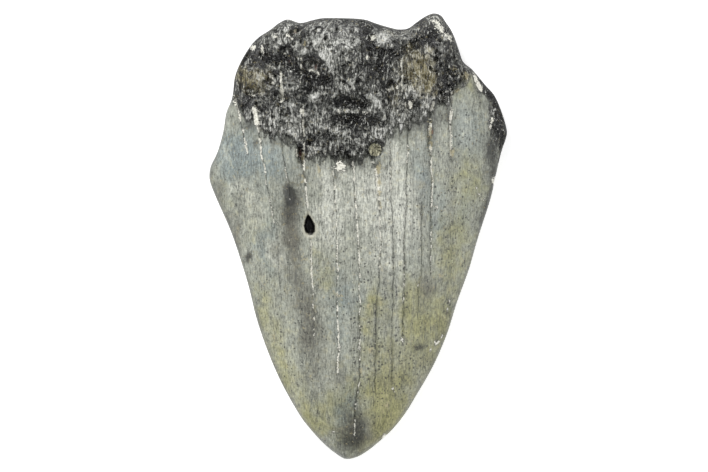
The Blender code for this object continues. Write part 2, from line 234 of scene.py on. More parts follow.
# %% [markdown]
# ## Where the enamel ends
#
# Enamel covers the crown and stops at a ragged line. Past it is the root, which is bare, darker and
# rougher. On the domed face the line dips in a broad bow, on the flat face it runs nearly straight, and
# down the right shoulder a strip of enamel has broken off. One number says it all: how many
# millimetres a point lies past the end of the enamel. It is positive on the root.

# %% Distance past the end of the enamel
DOMED_ENAMEL_END = [
    (-36, 36), (-28.8, 31.6), (-25.5, 26.8), (-22.8, 26.1), (-21.4, 23.3), (-17.9, 22.7),
    (-14.5, 21.3), (-13.3, 18), (-11, 17.8), (-6.2, 17.6), (-1.2, 17.4), (2.3, 18.3), (5.1, 19.9),
    (6.4, 23), (11.3, 25.4), (15.6, 27.4), (17.4, 29.4), (20.6, 30.2), (21.6, 33), (24, 35.2),
    (26, 37.5), (36, 60),
]
FLAT_ENAMEL_END = [
    (-36, 33), (-29, 31.6), (-22, 34.6), (-15, 33.6), (-9, 31.2), (-3, 31.8), (1, 29.8), (7, 30.4),
    (12, 33.2), (17, 33.8), (21, 36.4), (26.5, 38), (36, 60),
]
RIGHT_ENAMEL_END = [
    (13.9, 34), (19.9, 32.3), (21.5, 31.5), (24.8, 30.4), (28.6, 30.5), (31.4, 30.3), (33.2, 28.2),
    (38.5, 25.9), (42, 26.5),
]


def into_root(x, y, enamel_end):
    """The greater of: height above the line across, and distance right of the line down the right edge."""
    line = np.array(enamel_end)
    edge = np.array(RIGHT_ENAMEL_END)
    past_line = y - np.interp(x, line[:, 0], line[:, 1])
    past_edge = x - np.interp(y, edge[:, 0], edge[:, 1], left=60.0, right=60.0)
    return np.maximum(past_line, past_edge)


past_domed = into_root(x, y, DOMED_ENAMEL_END)
past_flat = into_root(x, y, FLAT_ENAMEL_END)
print("root's share of the domed face:", round(float((past_domed > 0).mean()), 2), "of its grid points")

# %% [markdown]
# ## The cracks
#
# As the tooth dried and shrank, its enamel split lengthwise. Most cracks start in the root and run
# toward the tip. Each one is written as a line x(y), with stretches that say how wide it stands
# open and how much pale mineral has filled it.
#
# A painted line as thin as 0.3 mm would need a very fine mesh. A signed distance gets round that: it
# grows evenly across the crack, so it stays exact between two far points, and the finish finds the place
# where it is zero. The sign changes over halfway between cracks, where the distance is the same to both.

# %% Crack lines and their stretches
CRACKS = [
    ([(-28.6, 32.4), (-27.4, 28.4), (-26.2, 23.3), (-25.5, 19.7), (-25.1, 15.8)],
     [(32.6, 26, 0.6, 1.25), (26, 22.6, 0.3, 0.4), (22.6, 18.8, 0.5, 1.1)]),
    ([(-23.5, 29.3), (-22.8, 25.2), (-22, 19.7), (-21.3, 15.5), (-20.4, 10), (-18.9, 2)],
     [(29.4, 24.6, 1.6, 1.4), (24.6, 17, 0.5, 0.75), (17, 3, 0.36, 0.65)]),
    ([(-18.4, 1), (-18.2, -4), (-17.8, -13)],
     [(1, -12.5, 0.13, 0.2)]),
    ([(-17.5, 37.8), (-17.2, 31.5), (-17.6, 22.5), (-16.5, 15.5), (-15.8, 12), (-15.4, 7.5),
      (-15.8, -12)],
     [(38, 35, 0.55, 1.4), (35, 31, 0.95, 1.4), (22.5, 8, 0.26, 0.4), (1, -11, 0.13, 0.1)]),
    ([(-13, 35.8), (-12.6, 30), (-12.4, 22.5), (-12.4, 15.5), (-12, 11), (-11.4, 5), (-10.9, -1),
      (-10.6, -8), (-10.1, -18.4), (-10.1, -24)],
     [(41, 30.5, 0.4, 0.5), (30.5, 22, 0.52, 0.75), (22, 5.5, 0.5, 0.75), (-0.5, -12, 0.34, 1),
      (-12, -23.5, 0.24, 0.4)]),
    ([(-8.6, 17), (-8.4, 8), (-8.2, -5)],
     [(16, -5, 0.13, 0.2)]),
    ([(-6, 17), (-5.6, 12), (-5, 6), (-4.7, -8), (-4.9, -12), (-4.5, -25), (-4.8, -32)],
     [(17, 5, 0.45, 0.65), (5, -12, 0.34, 0.65), (-12, -19, 0.36, 0.7), (-19, -31.5, 0.44, 0.9)]),
    ([(-3, 6), (-2.8, -15)],
     [(5, -14.5, 0.12, 0.1)]),
    ([(-1.3, 17.5), (-0.9, 12.8), (-0.2, 1.7), (0.2, -5.2), (0.3, -12), (0.3, -25), (0.4, -32),
      (-0.6, -38.5), (-1, -47)],
     [(17.5, 12, 0.55, 0.95), (12, 6, 0.32, 0.6), (6, -8, 0.42, 0.8), (-8, -29, 0.32, 0.65),
      (-29, -46, 0.32, 0.55)]),
    ([(3.2, 18), (3.5, 16.4), (4.6, 12.8), (4.9, 7), (5.2, -1), (4.9, -10), (4.1, -15), (4, -25),
      (3.8, -36.5)],
     [(18, 6, 0.9, 0.7), (6, -8, 0.38, 0.75), (-8, -36, 0.26, 0.25)]),
    ([(6.3, 17), (6.2, 0)],
     [(16.5, 0, 0.13, 0.3)]),
    ([(7.2, 21.5), (7.7, 6), (8.1, -6.6), (7.9, -15), (7.7, -22), (7.7, -34)],
     [(21.5, 10, 0.3, 0.5), (10, -14, 0.24, 0.3), (-14, -34, 0.18, 0.2)]),
    ([(9.9, 40.5), (9.9, 32.8), (9.5, 25), (9, 8)],
     [(40.5, 32.8, 0.45, 0.85), (24.5, 8.5, 0.13, 0.3)]),
    ([(11.4, 27), (11.4, 19.7), (10.9, 11.4), (11.1, 6), (10.4, -1), (10.6, -11.4), (10.1, -23.5)],
     [(27, 16, 0.42, 0.6), (16, -23, 0.27, 0.4)]),
    ([(12.6, 25), (12.6, 10), (12.2, -6)],
     [(24, -5, 0.12, 0.2)]),
    ([(14.8, 20), (14.4, 2), (14.6, -6.6), (13.8, -12), (13.7, -17.5)],
     [(8, -17.5, 0.22, 0.25)]),
    ([(17.4, 31.5), (16.4, 28.3), (16.2, 25.6), (16.3, 22), (16.5, 18), (16.9, 12.8), (16.6, 6),
      (16.6, -3), (16.5, -9)],
     [(31, 18, 0.62, 0.42), (18, 6, 0.36, 0.65), (6, -9, 0.24, 0.4)]),
    ([(21.8, 34.3), (21.2, 29.2), (21.2, 21.3), (21.4, 15)],
     [(33.5, 30, 0.4, 0.6), (30, 25.6, 0.75, 0.65), (25.6, 17, 0.46, 0.75)]),
]
FLAT_FACE_CRACKS = [
    ([(-18, 33), (-17, 20), (-15.5, 6), (-14, -6)],
     [(33, -6, 0.35, 0.3)]),
    ([(-9, 32.5), (-8.6, 14), (-7.4, -4), (-6.5, -24), (-4.6, -36)],
     [(32.5, 4, 0.4, 0.6), (4, -36, 0.3, 0.2)]),
    ([(0.5, 31), (0.8, 10), (0.2, -12), (-0.4, -32)],
     [(31, -32, 0.35, 0.5)]),
    ([(8.5, 32), (8.2, 12), (7.4, -6), (6.2, -22)],
     [(32, -22, 0.3, 0.2)]),
    ([(17, 34.5), (16.6, 18), (15.2, 2)],
     [(34.5, 2, 0.4, 0.5)]),
]
CRACK_DEPTH = 0.35


def crack_maps(x, y, cracks):
    """Signed distance to the nearest crack, that crack's width, and how white its filling is.

    The distance is x less the crack's x(y), which wanders a little by noise. Its sign is turned on every
    second crack, so that it is continuous. Width and filling fade out over 1.6 mm at a stretch's ends.
    """
    offsets, widths, fills = [], [], []
    for number, (points, stretches) in enumerate(cracks):
        line = np.array(points)[::-1]
        middle = np.interp(y, line[:, 1], line[:, 0])
        middle = middle + 0.22 * noise(0 * y, y, 1.0, 3.4, number)
        middle = middle + 0.08 * noise(0 * y, y, 1.0, 0.9, number + 40)
        width = np.zeros(y.shape)
        fill = np.zeros(y.shape)
        for top, bottom, wide, white in stretches:
            here = smoothstep(bottom - 0.8, bottom + 0.8, y) * smoothstep(top + 0.8, top - 0.8, y)
            width = np.maximum(width, wide * here)
            fill = np.maximum(fill, white * here)
        offsets.append((x - middle) * (-1) ** number)
        widths.append(width)
        fills.append(fill)
    nearest = np.argmin(np.abs(offsets), axis=0)[None]
    return [np.take_along_axis(np.array(layer), nearest, axis=0)[0] for layer in (offsets, widths, fills)]


crack_offset, crack_width, crack_fill = crack_maps(x, y, CRACKS)
flat_offset, flat_width, flat_fill = crack_maps(x, y, FLAT_FACE_CRACKS)
print(len(CRACKS), "cracks on the domed face,", len(FLAT_FACE_CRACKS), "on the flat face")

# %% [markdown]
# ## Knobs, hollows and pits
#
# The root was spongy, and water has worn it into low knobs, hollows and round pits. Large ones are given as
# ovals. Between them four sizes of noise give lumps, a fifth gives thin ridges, and many tiny pits are
# scattered from a seeded generator, so that every run gives the same tooth. The enamel is nearly smooth:
# it gets a faint swell, fine lengthwise ribs, and the grooves of the cracks.

# %% Relief of the domed face
SWELLINGS = [
    (-16, 46.5, 3.2, 2.6, 0, 0.9), (17.4, 47.6, 3.4, 3, -30, 1), (-4.6, 44, 5.2, 4, 0, 1.1),
    (-7.2, 39.6, 1, 2.6, 15, 0.8), (-12, 41.4, 1.1, 1.3, 0, 0.7), (-10.1, 31.6, 2.3, 1.5, 25, 1.2),
    (3.8, 30.8, 3, 1.2, -48, 1.2), (-2, 28.3, 3.6, 0.7, 0, 0.6), (-2.5, 33.4, 3.4, 1.8, 0, 0.5),
    (-7, 24.5, 4.5, 4, 0, 0.5), (13.6, 36.5, 3.8, 6, 0, 0.9), (6, 45, 1.7, 2, 0, 0.9),
    (-22.5, 40.4, 5, 1.3, 0, -1.6), (-16, 39.2, 2.8, 1.1, -30, -1.3),
    (-10, 35.8, 3.4, 0.9, -5, -1.3), (-10.6, 33.4, 2.4, 0.8, 28, -1.5),
    (-1.5, 30.1, 4.2, 1.1, 0, -1.7), (-2, 26.5, 3.8, 1, -3, -1.4), (1.8, 45.4, 1.2, 2.8, 12, -1.6),
    (5.2, 41.8, 3.6, 1.1, -12, -1.3), (5.2, 38.6, 2.6, 2.2, 0, -0.8),
    (12.6, 43.6, 3.6, 1.1, 25, -1), (20, 36, 2, 6, -10, -0.8),
]
PITS = [
    (-14, 46.2, 1.7, 1.3, 0, 1.3), (-16.5, 42, 1.5, 1.4, 20, 1.4),
    (-10.2, 38.4, 2.6, 2.2, -20, 2.5), (-19.2, 35.8, 1.8, 1.7, 0, 1.6),
    (-24.3, 33.2, 1.7, 1.6, 0, 1.5), (-17.8, 31.7, 1.8, 1.4, 0, 1.5), (-16.8, 28.4, 1.2, 1, 0, 0.8),
    (-9, 47, 1, 0.8, 0, 0.8), (3, 45.2, 1, 0.9, 0, 0.8), (7.4, 33.8, 1.6, 1.2, -40, 1.2),
    (-13.1, 18.6, 1.2, 2.2, 0, 1.6), (3.9, 19.7, 1.9, 1.9, 0, 0.8), (-3.6, 18.7, 1.5, 1.4, 0, 0.6),
    (-10.7, 21.8, 1, 0.5, 30, 0.8), (11.9, 30.1, 0.8, 1.1, 0, 0.4), (-15.5, 10.2, 1.4, 2.6, 8, 0.4),
    (16.2, 22.6, 0.8, 3.2, 0, 0.6),
]
HOLE = (-11.1, 2.7, 1.35, 2.3, 8.0)
HOLE_DEPTH = 3.2
ENAMEL_STEP = 0.35

TINY_PIT_COUNT = 420
chance = np.random.default_rng(7)
TINY_PITS = np.stack([
    chance.uniform(-30.0, 30.0, TINY_PIT_COUNT),
    chance.uniform(16.0, 50.0, TINY_PIT_COUNT),
    chance.uniform(0.35, 0.95, TINY_PIT_COUNT),
    chance.uniform(0.35, 0.95, TINY_PIT_COUNT),
    chance.uniform(0.0, 180.0, TINY_PIT_COUNT),
    chance.uniform(0.25, 0.80, TINY_PIT_COUNT),
], axis=1)


def hole_share(x, y):
    """A full oval, (u^2.4 + v^2.4)^(1/2.4), 1 on its rim. It is narrowed toward the root, like a drop."""
    centre_x, centre_y, half_x, half_y, turn = HOLE
    angle = math.radians(turn)
    u = (x - centre_x) * math.cos(angle) + (y - centre_y) * math.sin(angle)
    v = (y - centre_y) * math.cos(angle) - (x - centre_x) * math.sin(angle)
    taper = 1.0 - 0.55 * smoothstep(-0.5, 1.1, v / half_y)
    return (np.abs(u / (half_x * taper)) ** 2.4 + np.abs(v / half_y) ** 2.4) ** (1 / 2.4)


def root_lumps(x, y):
    """Noise in cells of about 7, 3.4, 1.5 and 0.9 mm, added together, and thin ridges 1 - 2 |noise| in cells
    of 1.3 by 2.4 mm. The large lumps are weaker near the enamel."""
    upper = smoothstep(2.0, 9.0, into_root(x, y, DOMED_ENAMEL_END))
    lumps = 0.9 * noise(x, y, 7.5, 6.5, 11) + 0.6 * noise(x, y, 3.4, 3.0, 12)
    ridges = 0.30 * (1.0 - 2.0 * np.abs(noise(x, y, 1.3, 2.4, 15)))
    lumps = (0.35 + 0.65 * upper) * lumps + ridges
    return lumps + 0.35 * noise(x, y, 1.5, 2.6, 13) + 0.24 * noise(x, y, 0.9, 1.3, 14)


def placed_relief(x, y):
    """The placed ovals: bell-shaped swellings added, bowl-shaped pits taken away."""
    height = spots(x, y, SWELLINGS)
    for *shape, depth in PITS:
        height = height - depth * (1.0 - smoothstep(0.35, 1.05, oval(x, y, *shape)))
    return height


def pit_tones(x, y):
    """Light and shade in the placed pits: a light floor, exp(-(s / 0.5)^2), and a dark ring where the share s
    from the centre is near 0.9. The ring is darkest at the upper right."""
    tones = np.zeros(x.shape)
    for centre_x, centre_y, *shape, depth in PITS:
        share = oval(x, y, centre_x, centre_y, *shape)
        side = 0.7 + 0.3 * np.cos(np.arctan2(y - centre_y, x - centre_x) - math.pi / 4)
        tones = tones + 0.5 * np.exp(-(share / 0.5) ** 2) - side * np.exp(-((share - 0.9) / 0.28) ** 2)
    return tones


def tiny_pits(x, y):
    """Depth of the scattered pits: each one is a smooth bowl, worked out only near its centre."""
    depth = np.zeros(x.shape)
    for centre_x, centre_y, half_x, half_y, turn, deep in TINY_PITS:
        near = (np.abs(x - centre_x) < 1.2) & (np.abs(y - centre_y) < 1.2)
        bowl = 1.0 - smoothstep(0.2, 1.0, oval(x[near], y[near], centre_x, centre_y, half_x, half_y, turn))
        depth[near] = np.maximum(depth[near], deep * bowl)
    return depth


def groove(offset, width):
    """A rounded groove along a crack: depth times (1 - s^2)^2, with s the share of its half width."""
    share = np.clip(np.abs(offset) / (0.22 + 0.45 * width), 0.0, 1.0)
    return CRACK_DEPTH * smoothstep(0.05, 0.4, width) * (1.0 - share**2) ** 2


root_here = smoothstep(-0.4, 0.8, past_domed)
lumps = root_lumps(x, y)
pitting = tiny_pits(x, y)
ribs = 0.03 * noise(x, y, 0.9, 16.0, 31) + 0.16 * noise(x, y, 13.0, 22.0, 3)
placed = placed_relief(x, y)
domed_relief = ribs + placed + root_here * (lumps - pitting - ENAMEL_STEP) - groove(crack_offset, crack_width)
print("relief of the domed face, mm:", np.round([domed_relief.min(), domed_relief.max()], 2).tolist())

# %% [markdown]
# ## Thickness
#
# The tooth lies on the flatter face, with the domed face up. Both faces start from the same edge, which
# is thin along the blade and blunt where the root is broken. Each face rises from it in a quarter oval,
# steeper at the root, and the broad dome or belly is added inside. The middle of the tooth touches the
# ground, and both ends lift a little.

# %% Heights of both faces
DOME_AT_ROOT = 12.8
DOME_AT_TIP = 4.2
BELLY_AT_ROOT = 2.8
BELLY_AT_TIP = 1.4
BLADE_EDGE = 0.8
ROOT_EDGE_ABOVE = 3.0
ROOT_EDGE_BELOW = 1.8
ROOT_EDGE_FADES_BY = 0.28
EDGE_STEEPNESS = 0.5
ROOT_END_SHARE = 0.2
TIP_END_SHARE = 0.16
REST_DEPTH = 0.25
ROOT_LIFT = 1.1
TIP_LIFT = 1.3
MIDDLE = 0.52
DOME_POWERS = (2.3, 2.2)
BELLY_POWERS = (3.0, 2.0)


def rounded_edge(depth, height, reach):
    """A quarter oval: height times sqrt(1 - (1 - depth / reach)^2), level from reach inward."""
    return height * np.sqrt(1.0 - (1.0 - np.clip(depth / reach, 0.0, 1.0)) ** 2)


def fullness(across, along, side_power, end_power):
    """0 at the outline, 1 inside. Side, root and tip each give 1 - (share from the middle)^power, and the
    three are blended by (1/s^2 + 1/r^2 + 1/t^2 - 2)^(-1/2), which stays near the smallest."""
    side = 1.0 - np.abs(2 * across - 1) ** side_power
    root_end = 1.0 - (1.0 - np.clip(along / ROOT_END_SHARE, 0.0, 1.0)) ** end_power
    tip_end = 1.0 - (1.0 - np.clip((1 - along) / TIP_END_SHARE, 0.0, 1.0)) ** end_power
    return (sum(1.0 / np.maximum(curve, 1e-4) ** 2 for curve in (side, root_end, tip_end)) - 2.0) ** -0.5


def between(at_root, at_tip, along):
    """at_root + (at_tip - at_root) along^1.8: it falls slowly at first and faster toward the tip."""
    return at_root + (at_tip - at_root) * along**1.8


def faces_of_tooth(across, along):
    """Heights of the domed and the flat face: edge plane, plus or minus rounded edge, dome and relief."""
    a = across[None, :]
    b = along[:, None]
    fade = smoothstep(0.0, 0.9, edge_depth)
    thick_root = 1.0 - smoothstep(0.0, ROOT_EDGE_FADES_BY, b)
    edge_above = BLADE_EDGE + ROOT_EDGE_ABOVE * thick_root
    edge_below = BLADE_EDGE + ROOT_EDGE_BELOW * thick_root
    reach = edge_above * (1.0 - EDGE_STEEPNESS * thick_root)
    belly = between(BELLY_AT_ROOT, BELLY_AT_TIP, b)
    root_lift = ROOT_LIFT * np.clip(1 - b / MIDDLE, 0.0, 1.0) ** 2
    tip_lift = TIP_LIFT * np.clip((b - MIDDLE) / (1 - MIDDLE), 0.0, 1.0) ** 2
    edge_plane = root_lift + tip_lift - REST_DEPTH + edge_below + belly
    dome = between(DOME_AT_ROOT, DOME_AT_TIP, b) * fullness(a, b, *DOME_POWERS)
    above = rounded_edge(edge_depth, edge_above, reach) + dome + fade * domed_relief
    bulge = belly * fullness(a, b, *BELLY_POWERS)
    below = rounded_edge(edge_depth, edge_below, edge_below) + bulge + fade * flat_relief
    return edge_plane + above, np.maximum(edge_plane - below, 0.0)


flat_root = smoothstep(-0.4, 0.8, past_flat)
flat_lumps = 0.5 * noise(x, y, 6.5, 5.5, 21) + 0.3 * noise(x, y, 2.8, 3.0, 22)
flat_lumps = flat_lumps + 0.15 * noise(x, y, 1.1, 1.4, 23)
flat_relief = 0.12 * noise(x, y, 15.0, 24.0, 5) + flat_root * (flat_lumps - ENAMEL_STEP)
flat_relief = flat_relief - groove(flat_offset, flat_width)
high, low = faces_of_tooth(across, along)
hole_wall = 1.0 - smoothstep(0.72, 1.02, hole_share(x, y))
high = high - HOLE_DEPTH * hole_wall
print("thickest, mm:", round(float((high - low).max()), 1))

# %% [markdown]
# ## One closed mesh
#
# The two grids become one mesh. The flat face uses the outline's points of the domed face, so the mesh is
# closed without any stitching. The flat face is plain and needs few triangles, so a Decimate modifier
# thins it. A vertex group keeps the modifier off the domed face.

# %% Build the mesh
TRIANGLES = 192000


def quads(index):
    """The four corners of each cell of a grid of point numbers, in the order that turns the face up."""
    corners = (index[:-1, :-1], index[1:, :-1], index[1:, 1:], index[:-1, 1:])
    return np.stack([corner.ravel() for corner in corners], axis=1)


domed_index = np.arange(ROWS * COLUMNS).reshape(ROWS, COLUMNS)
flat_index = domed_index.copy()
flat_index[1:-1, 1:-1] = ROWS * COLUMNS + np.arange((ROWS - 2) * (COLUMNS - 2)).reshape(ROWS - 2, COLUMNS - 2)


def both_faces(domed, flat):
    """One row of values for the whole mesh: all of the domed grid, then the flat grid without its ring."""
    return np.concatenate([domed.ravel(), flat[1:-1, 1:-1].ravel()])


points = np.stack([both_faces(x, x), both_faces(y, y), both_faces(high, low)], axis=1) * MM
cells = np.concatenate([quads(domed_index), quads(flat_index)[:, ::-1]])
mesh = bpy.data.meshes.new("tooth_surface")
mesh.from_pydata(points.tolist(), [], cells.tolist())
mesh.shade_smooth()
tooth = bpy.data.objects.new("tooth_surface", mesh)
bpy.context.scene.collection.objects.link(tooth)

thinned = tooth.vertex_groups.new(name="flat_side")
thinned.add(list(range(ROWS * COLUMNS, len(points))), 1.0, "REPLACE")
thin_out = tooth.modifiers.new("thin_out", "DECIMATE")
thin_out.ratio = TRIANGLES / (2 * len(cells))
thin_out.vertex_group = "flat_side"
print(len(points), "points,", 2 * len(cells), "triangles before thinning")

# %% [markdown]
# ## Maps on the surface
#
# A finish has to know what each place is: root or enamel, crack or sound, clean or stained. Every such
# map is one number for each point of the mesh, kept as a named attribute, and the finish reads it by name.
# Broad, soft things suit such maps. Anything finer than the mesh comes from noise in the finish itself.

# %% A tool that stores a map, and the maps from the shape
def store(name, domed, flat):
    """Keeps one number for each point, and prints its range."""
    values = both_faces(domed, flat).astype(np.float32)
    mesh.attributes.new(name, "FLOAT", "POINT").data.foreach_set("value", values)
    print(f"map {name}: {values.min():.2f} to {values.max():.2f}")


store("root_reach", past_domed, past_flat)
store("crack_offset", crack_offset, flat_offset)
store("crack_width", crack_width, flat_width)
store("crack_fill", crack_fill, flat_fill)
store("root_relief", lumps + spots(x, y, SWELLINGS) - 0.8 * pitting, flat_lumps)
store("pit_tone", pit_tones(x, y), np.zeros(x.shape))
store("hole", hole_share(x, y), np.full(x.shape, 9.0))
store("edge_depth", edge_depth, edge_depth)

# %% [markdown]
# ## Washes of colour
#
# Minerals in the sediment have stained the enamel: blue-grey on the shoulders, warm brown beside the hole,
# olive toward the tip and on the right. The enamel is also paler along the middle. These washes are soft
# ovals, given one by one. The dark smudges, the root's grey, black and ochre patches, and the crusts and
# rust spots are made in the same way. Many of the root's black patches lie in its hollows and pits, where
# they are partly its own black and partly painted shade. Each oval is: centre, half lengths, turn in
# degrees, amount. Before the ovals are measured, smooth noise pushes the points about, which bends each
# oval into a natural shape.

# %% Washes of the enamel
PALE = [
    (1.5, 10, 7, 7.5, 0, 0.8), (9, 8, 4.5, 9, 0, 0.85), (6, -4, 7, 8, 0, 0.5),
    (-24.9, 5, 1.5, 6, 12, 0.4), (-23, -6, 1.2, 6, 12, 0.15), (-6.8, 2, 2.8, 6, 0, 0.8),
    (-7.8, 11, 2.8, 5.5, 0, 0.9), (-19.8, -21, 3, 8, 12, 0.55), (-16, -33, 3.2, 7.5, 20, 0.6),
    (-10.5, -43, 2.6, 4, 30, 0.5), (25, 24, 3.4, 6, 0, 0.4), (8.4, 19, 2.6, 5, 0, 0.7),
    (13.4, 20, 1.4, 5, 0, 0.4), (-30.5, 20, 2.4, 4, 0, 0.2), (0.5, -13.5, 2.2, 2, 0, 0.3),
    (21.3, -12.2, 1.2, 1, 0, 0.6), (20.5, -18.5, 1.6, 1.4, 0, 0.4),
    (22.2, -14.4, 0.7, 1.6, -20, 0.5), (-26, 11.6, 3, 3, 10, 0.42), (-22.8, 7, 1.8, 4, 0, 0.5),
    (-18.4, -4, 1.3, 8, 4, 0.45), (22.6, 8, 1.8, 7, 0, 0.35),
]
OLIVE = [
    (18, -22, 7, 12, 0, 0.75), (23, -2, 5, 10, 0, 0.6), (25, 14, 4.5, 6, 0, 0.55),
    (6, -34, 7, 8, 0, 1.05), (8, -45, 5, 5, 0, 1), (1, -47.5, 5, 4, 0, 0.6),
    (-5, -38, 4, 6, 0, 0.45), (-16.5, -33, 4, 9, 22, 0.75), (-10, -44, 4, 5, 24, 0.8),
    (-21, -18, 4, 8, 12, 0.6), (3, -18, 3, 6, 0, 0.75), (11, -16, 4, 8, 0, 0.55),
    (-30, 8.5, 3, 4, 20, 0.3), (25.5, 34, 2.6, 3.5, 30, 0.55), (-8, -8, 3, 5, 0, 0.45),
    (-24, 4, 3, 8, 0, 0.25),
]
BROWN = [
    (-15.4, 4, 3, 9.5, 0, 0.85), (-14.2, -10, 2.8, 9, 6, 0.5), (-10.5, -22, 3.2, 12, 4, 0.65),
    (15.5, -11.5, 2.6, 3.6, 0, 0.6), (-29.8, 4.5, 2, 4, 20, 0.45), (8, -30, 7, 6, 0, 0.3),
    (-4, -31, 3, 7, 0, 0.45), (0, -45, 6, 6, 0, 0.6), (18, -28, 4, 6, 0, 0.25),
    (-31.6, 10.6, 2, 2.6, 20, 0.6), (-28.2, -0.5, 1.6, 5, 15, 0.55), (13.8, 7.5, 1.8, 7, 0, 0.45),
]
BLUE = [
    (-28.2, 18.8, 5.2, 7, 8, 1.15), (-19, 17, 4.4, 7, 0, 0.8), (25, 24, 4.5, 7, 0, 0.75),
    (14.2, 14, 2.6, 8, 0, 0.85), (18.2, 5, 2, 6, 0, 0.6), (-21.2, -2, 2, 8, 6, 0.65),
    (-3, -13.5, 4.5, 6, 0, 0.75), (-4, -24, 3, 5, 0, 0.45), (-2, -41, 3, 9, 0, 0.95),
    (24.5, 6, 3, 6, 0, 0.5), (12, -6, 4, 8, 0, 0.4), (-22.8, -17, 1.8, 5, 12, 0.4),
    (21, -15.5, 1.6, 2.4, 0, 0.6),
]
STAIN = [
    (-15.7, 9.8, 1.9, 3.2, 0, 0.42), (-15.5, 9.6, 0.95, 1.8, 0, 0.95), (-15.7, 5, 2.4, 5, 0, 0.55),
    (-13.5, 13, 1.5, 5, 0, 0.3), (13.9, -25.4, 1.8, 0.95, 0, 0.85), (15.1, -12.1, 1.6, 1.8, 0, 0.2),
    (-25.2, -5, 1.1, 1.8, -30, 0.9), (30.4, 8.4, 1.1, 8, -14, 0.5), (30.6, 20, 1.6, 2.6, 0, 0.75),
    (28.2, 31, 0.9, 2.6, 30, 0.45), (31.4, 15, 1, 3, 0, 0.55), (-1.6, -41, 2.6, 8, 0, 0.4),
    (0.4, -45, 1.8, 5, 0, 0.55), (-3, -47.5, 3, 2.4, 20, 0.5), (-13, 18.4, 1.2, 2.8, 0, 0.75),
    (-11.8, 12.6, 0.7, 3, 0, 0.45), (-1.5, 16.8, 3.4, 2.2, 0, 0.7), (-4.8, 14.5, 0.9, 2.8, 0, 0.6),
    (4.4, 16, 1.3, 1.8, 0, 0.7), (10, 24.2, 5, 2.6, 20, 0.5), (15, 26, 3, 2, 0, 0.5),
    (18.8, 27.6, 1.8, 2, 0, 0.5), (-8.8, 18.8, 2.6, 1.2, 0, 0.3), (16.4, 22.5, 1, 5, 0, 0.6),
    (20.9, 27, 1, 4, 0, 0.6), (-25, 25.4, 2.8, 1.2, 0, 0.6), (-18.5, 21.8, 3.4, 1.6, -14, 0.45),
    (21.3, -13.6, 1.2, 1.6, 0, 0.35), (20.8, -15.5, 1.9, 0.28, -28, 1),
    (20.4, -17.7, 1.6, 0.28, -28, 0.9), (-4, -14, 3, 4, 0, 0.2), (-13.5, -12, 3, 5, 0, 0.18),
    (19, 4, 1.6, 5, 0, 0.32), (4.4, -22, 0.9, 12, 0, 0.22), (-23.4, 21.8, 1.8, 2.2, 0, 0.62),
    (14, 21, 1.8, 3, 0, 0.3), (29.2, 15.5, 2.4, 5.5, -8, 0.4), (28.2, 4.5, 1.7, 6.5, -14, 0.42),
]
SPECKLED = [
    (2, -10, 13, 16, 0, 0.8), (8, -30, 10, 14, 0, 0.9), (22, 6, 7, 16, 0, 1),
    (-14, -26, 8, 14, 0, 0.7), (24, 26, 6, 8, 0, 0.8), (12, 10, 6, 9, 0, 0.5),
    (-28, 14, 6, 9, 0, 0.4), (-22, -8, 5, 14, 0, 0.3), (-2, -42, 6, 8, 0, 0.5),
]

# %% Washes of the root
OCHRE = [
    (-26, 36.6, 3.4, 3.4, 0, 0.85), (-21.5, 35.5, 3, 3.6, 0, 0.65), (14, 38, 4.2, 6, 0, 1),
    (15.6, 33.5, 2.4, 2.6, 0, 0.6), (8.6, 31, 3, 3, 0, 0.45), (7, 46, 3, 1, -20, 0.35),
    (21.6, 42, 1.8, 2, 0, 0.4), (24.6, 36.2, 1.2, 1.6, 0, 0.85), (-14, 31, 1.4, 3, 0, 0.3),
]
ROOT_GREY = [
    (-4.8, 44, 4.6, 3.6, 0, 0.3), (-7.2, 39.6, 0.9, 2.6, 15, 0.75), (-12, 41.4, 1, 1.2, 0, 1.1),
    (-12.2, 44.4, 2.2, 1.6, 0, 0.6), (-9.4, 42.6, 1.4, 2, 0, 0.3), (-10.1, 31.8, 2, 1.4, 20, 1.3),
    (-8.2, 29.6, 1.6, 1, 0, 0.5), (-9.8, 26.5, 1.6, 1.6, 0, 0.6), (3.8, 30.6, 2.8, 1, -48, 1),
    (-2, 28.3, 3, 0.6, 0, 0.8), (6, 45, 1.5, 2, 0, 0.7), (8.4, 46.6, 2.6, 0.9, -18, 0.5),
    (8.8, 37.6, 1.1, 2.6, 0, 0.5), (-15.2, 27, 1.4, 4, 0, 0.65), (-13.5, 28, 0.7, 3.4, 0, 0.5),
    (-17.2, 25, 1.2, 3, 0, 0.3), (-18.5, 38.3, 1.1, 1, 0, 0.8), (-15.2, 36, 1.2, 1.4, 0, 0.5),
    (-18, 28, 4, 3.2, 0, 0.35), (10, 26, 5, 3, 20, 0.9), (16.2, 30, 2.4, 1.4, 20, 0.4),
    (-4.6, 23.5, 0.8, 2.4, 0, 0.7), (33.3, 29, 0.6, 3.4, 12, 0.6), (16, 38.4, 0.6, 3.4, 0, 0.5),
    (11.5, 46, 2.2, 0.9, 10, 0.35), (-9.5, 19, 2.2, 1.6, 0, 0.5), (-14.6, 23.6, 1.8, 2.6, 0, 0.55),
    (0.6, 48.8, 2.6, 1, 0, 0.55), (-13, 40, 1, 1.4, 0, 0.4), (-12, 20.8, 2.6, 1.6, 0, 0.5),
    (-6, 20.4, 4, 1.6, 0, 0.3), (3, 22, 4, 1.6, 0, 0.3),
]
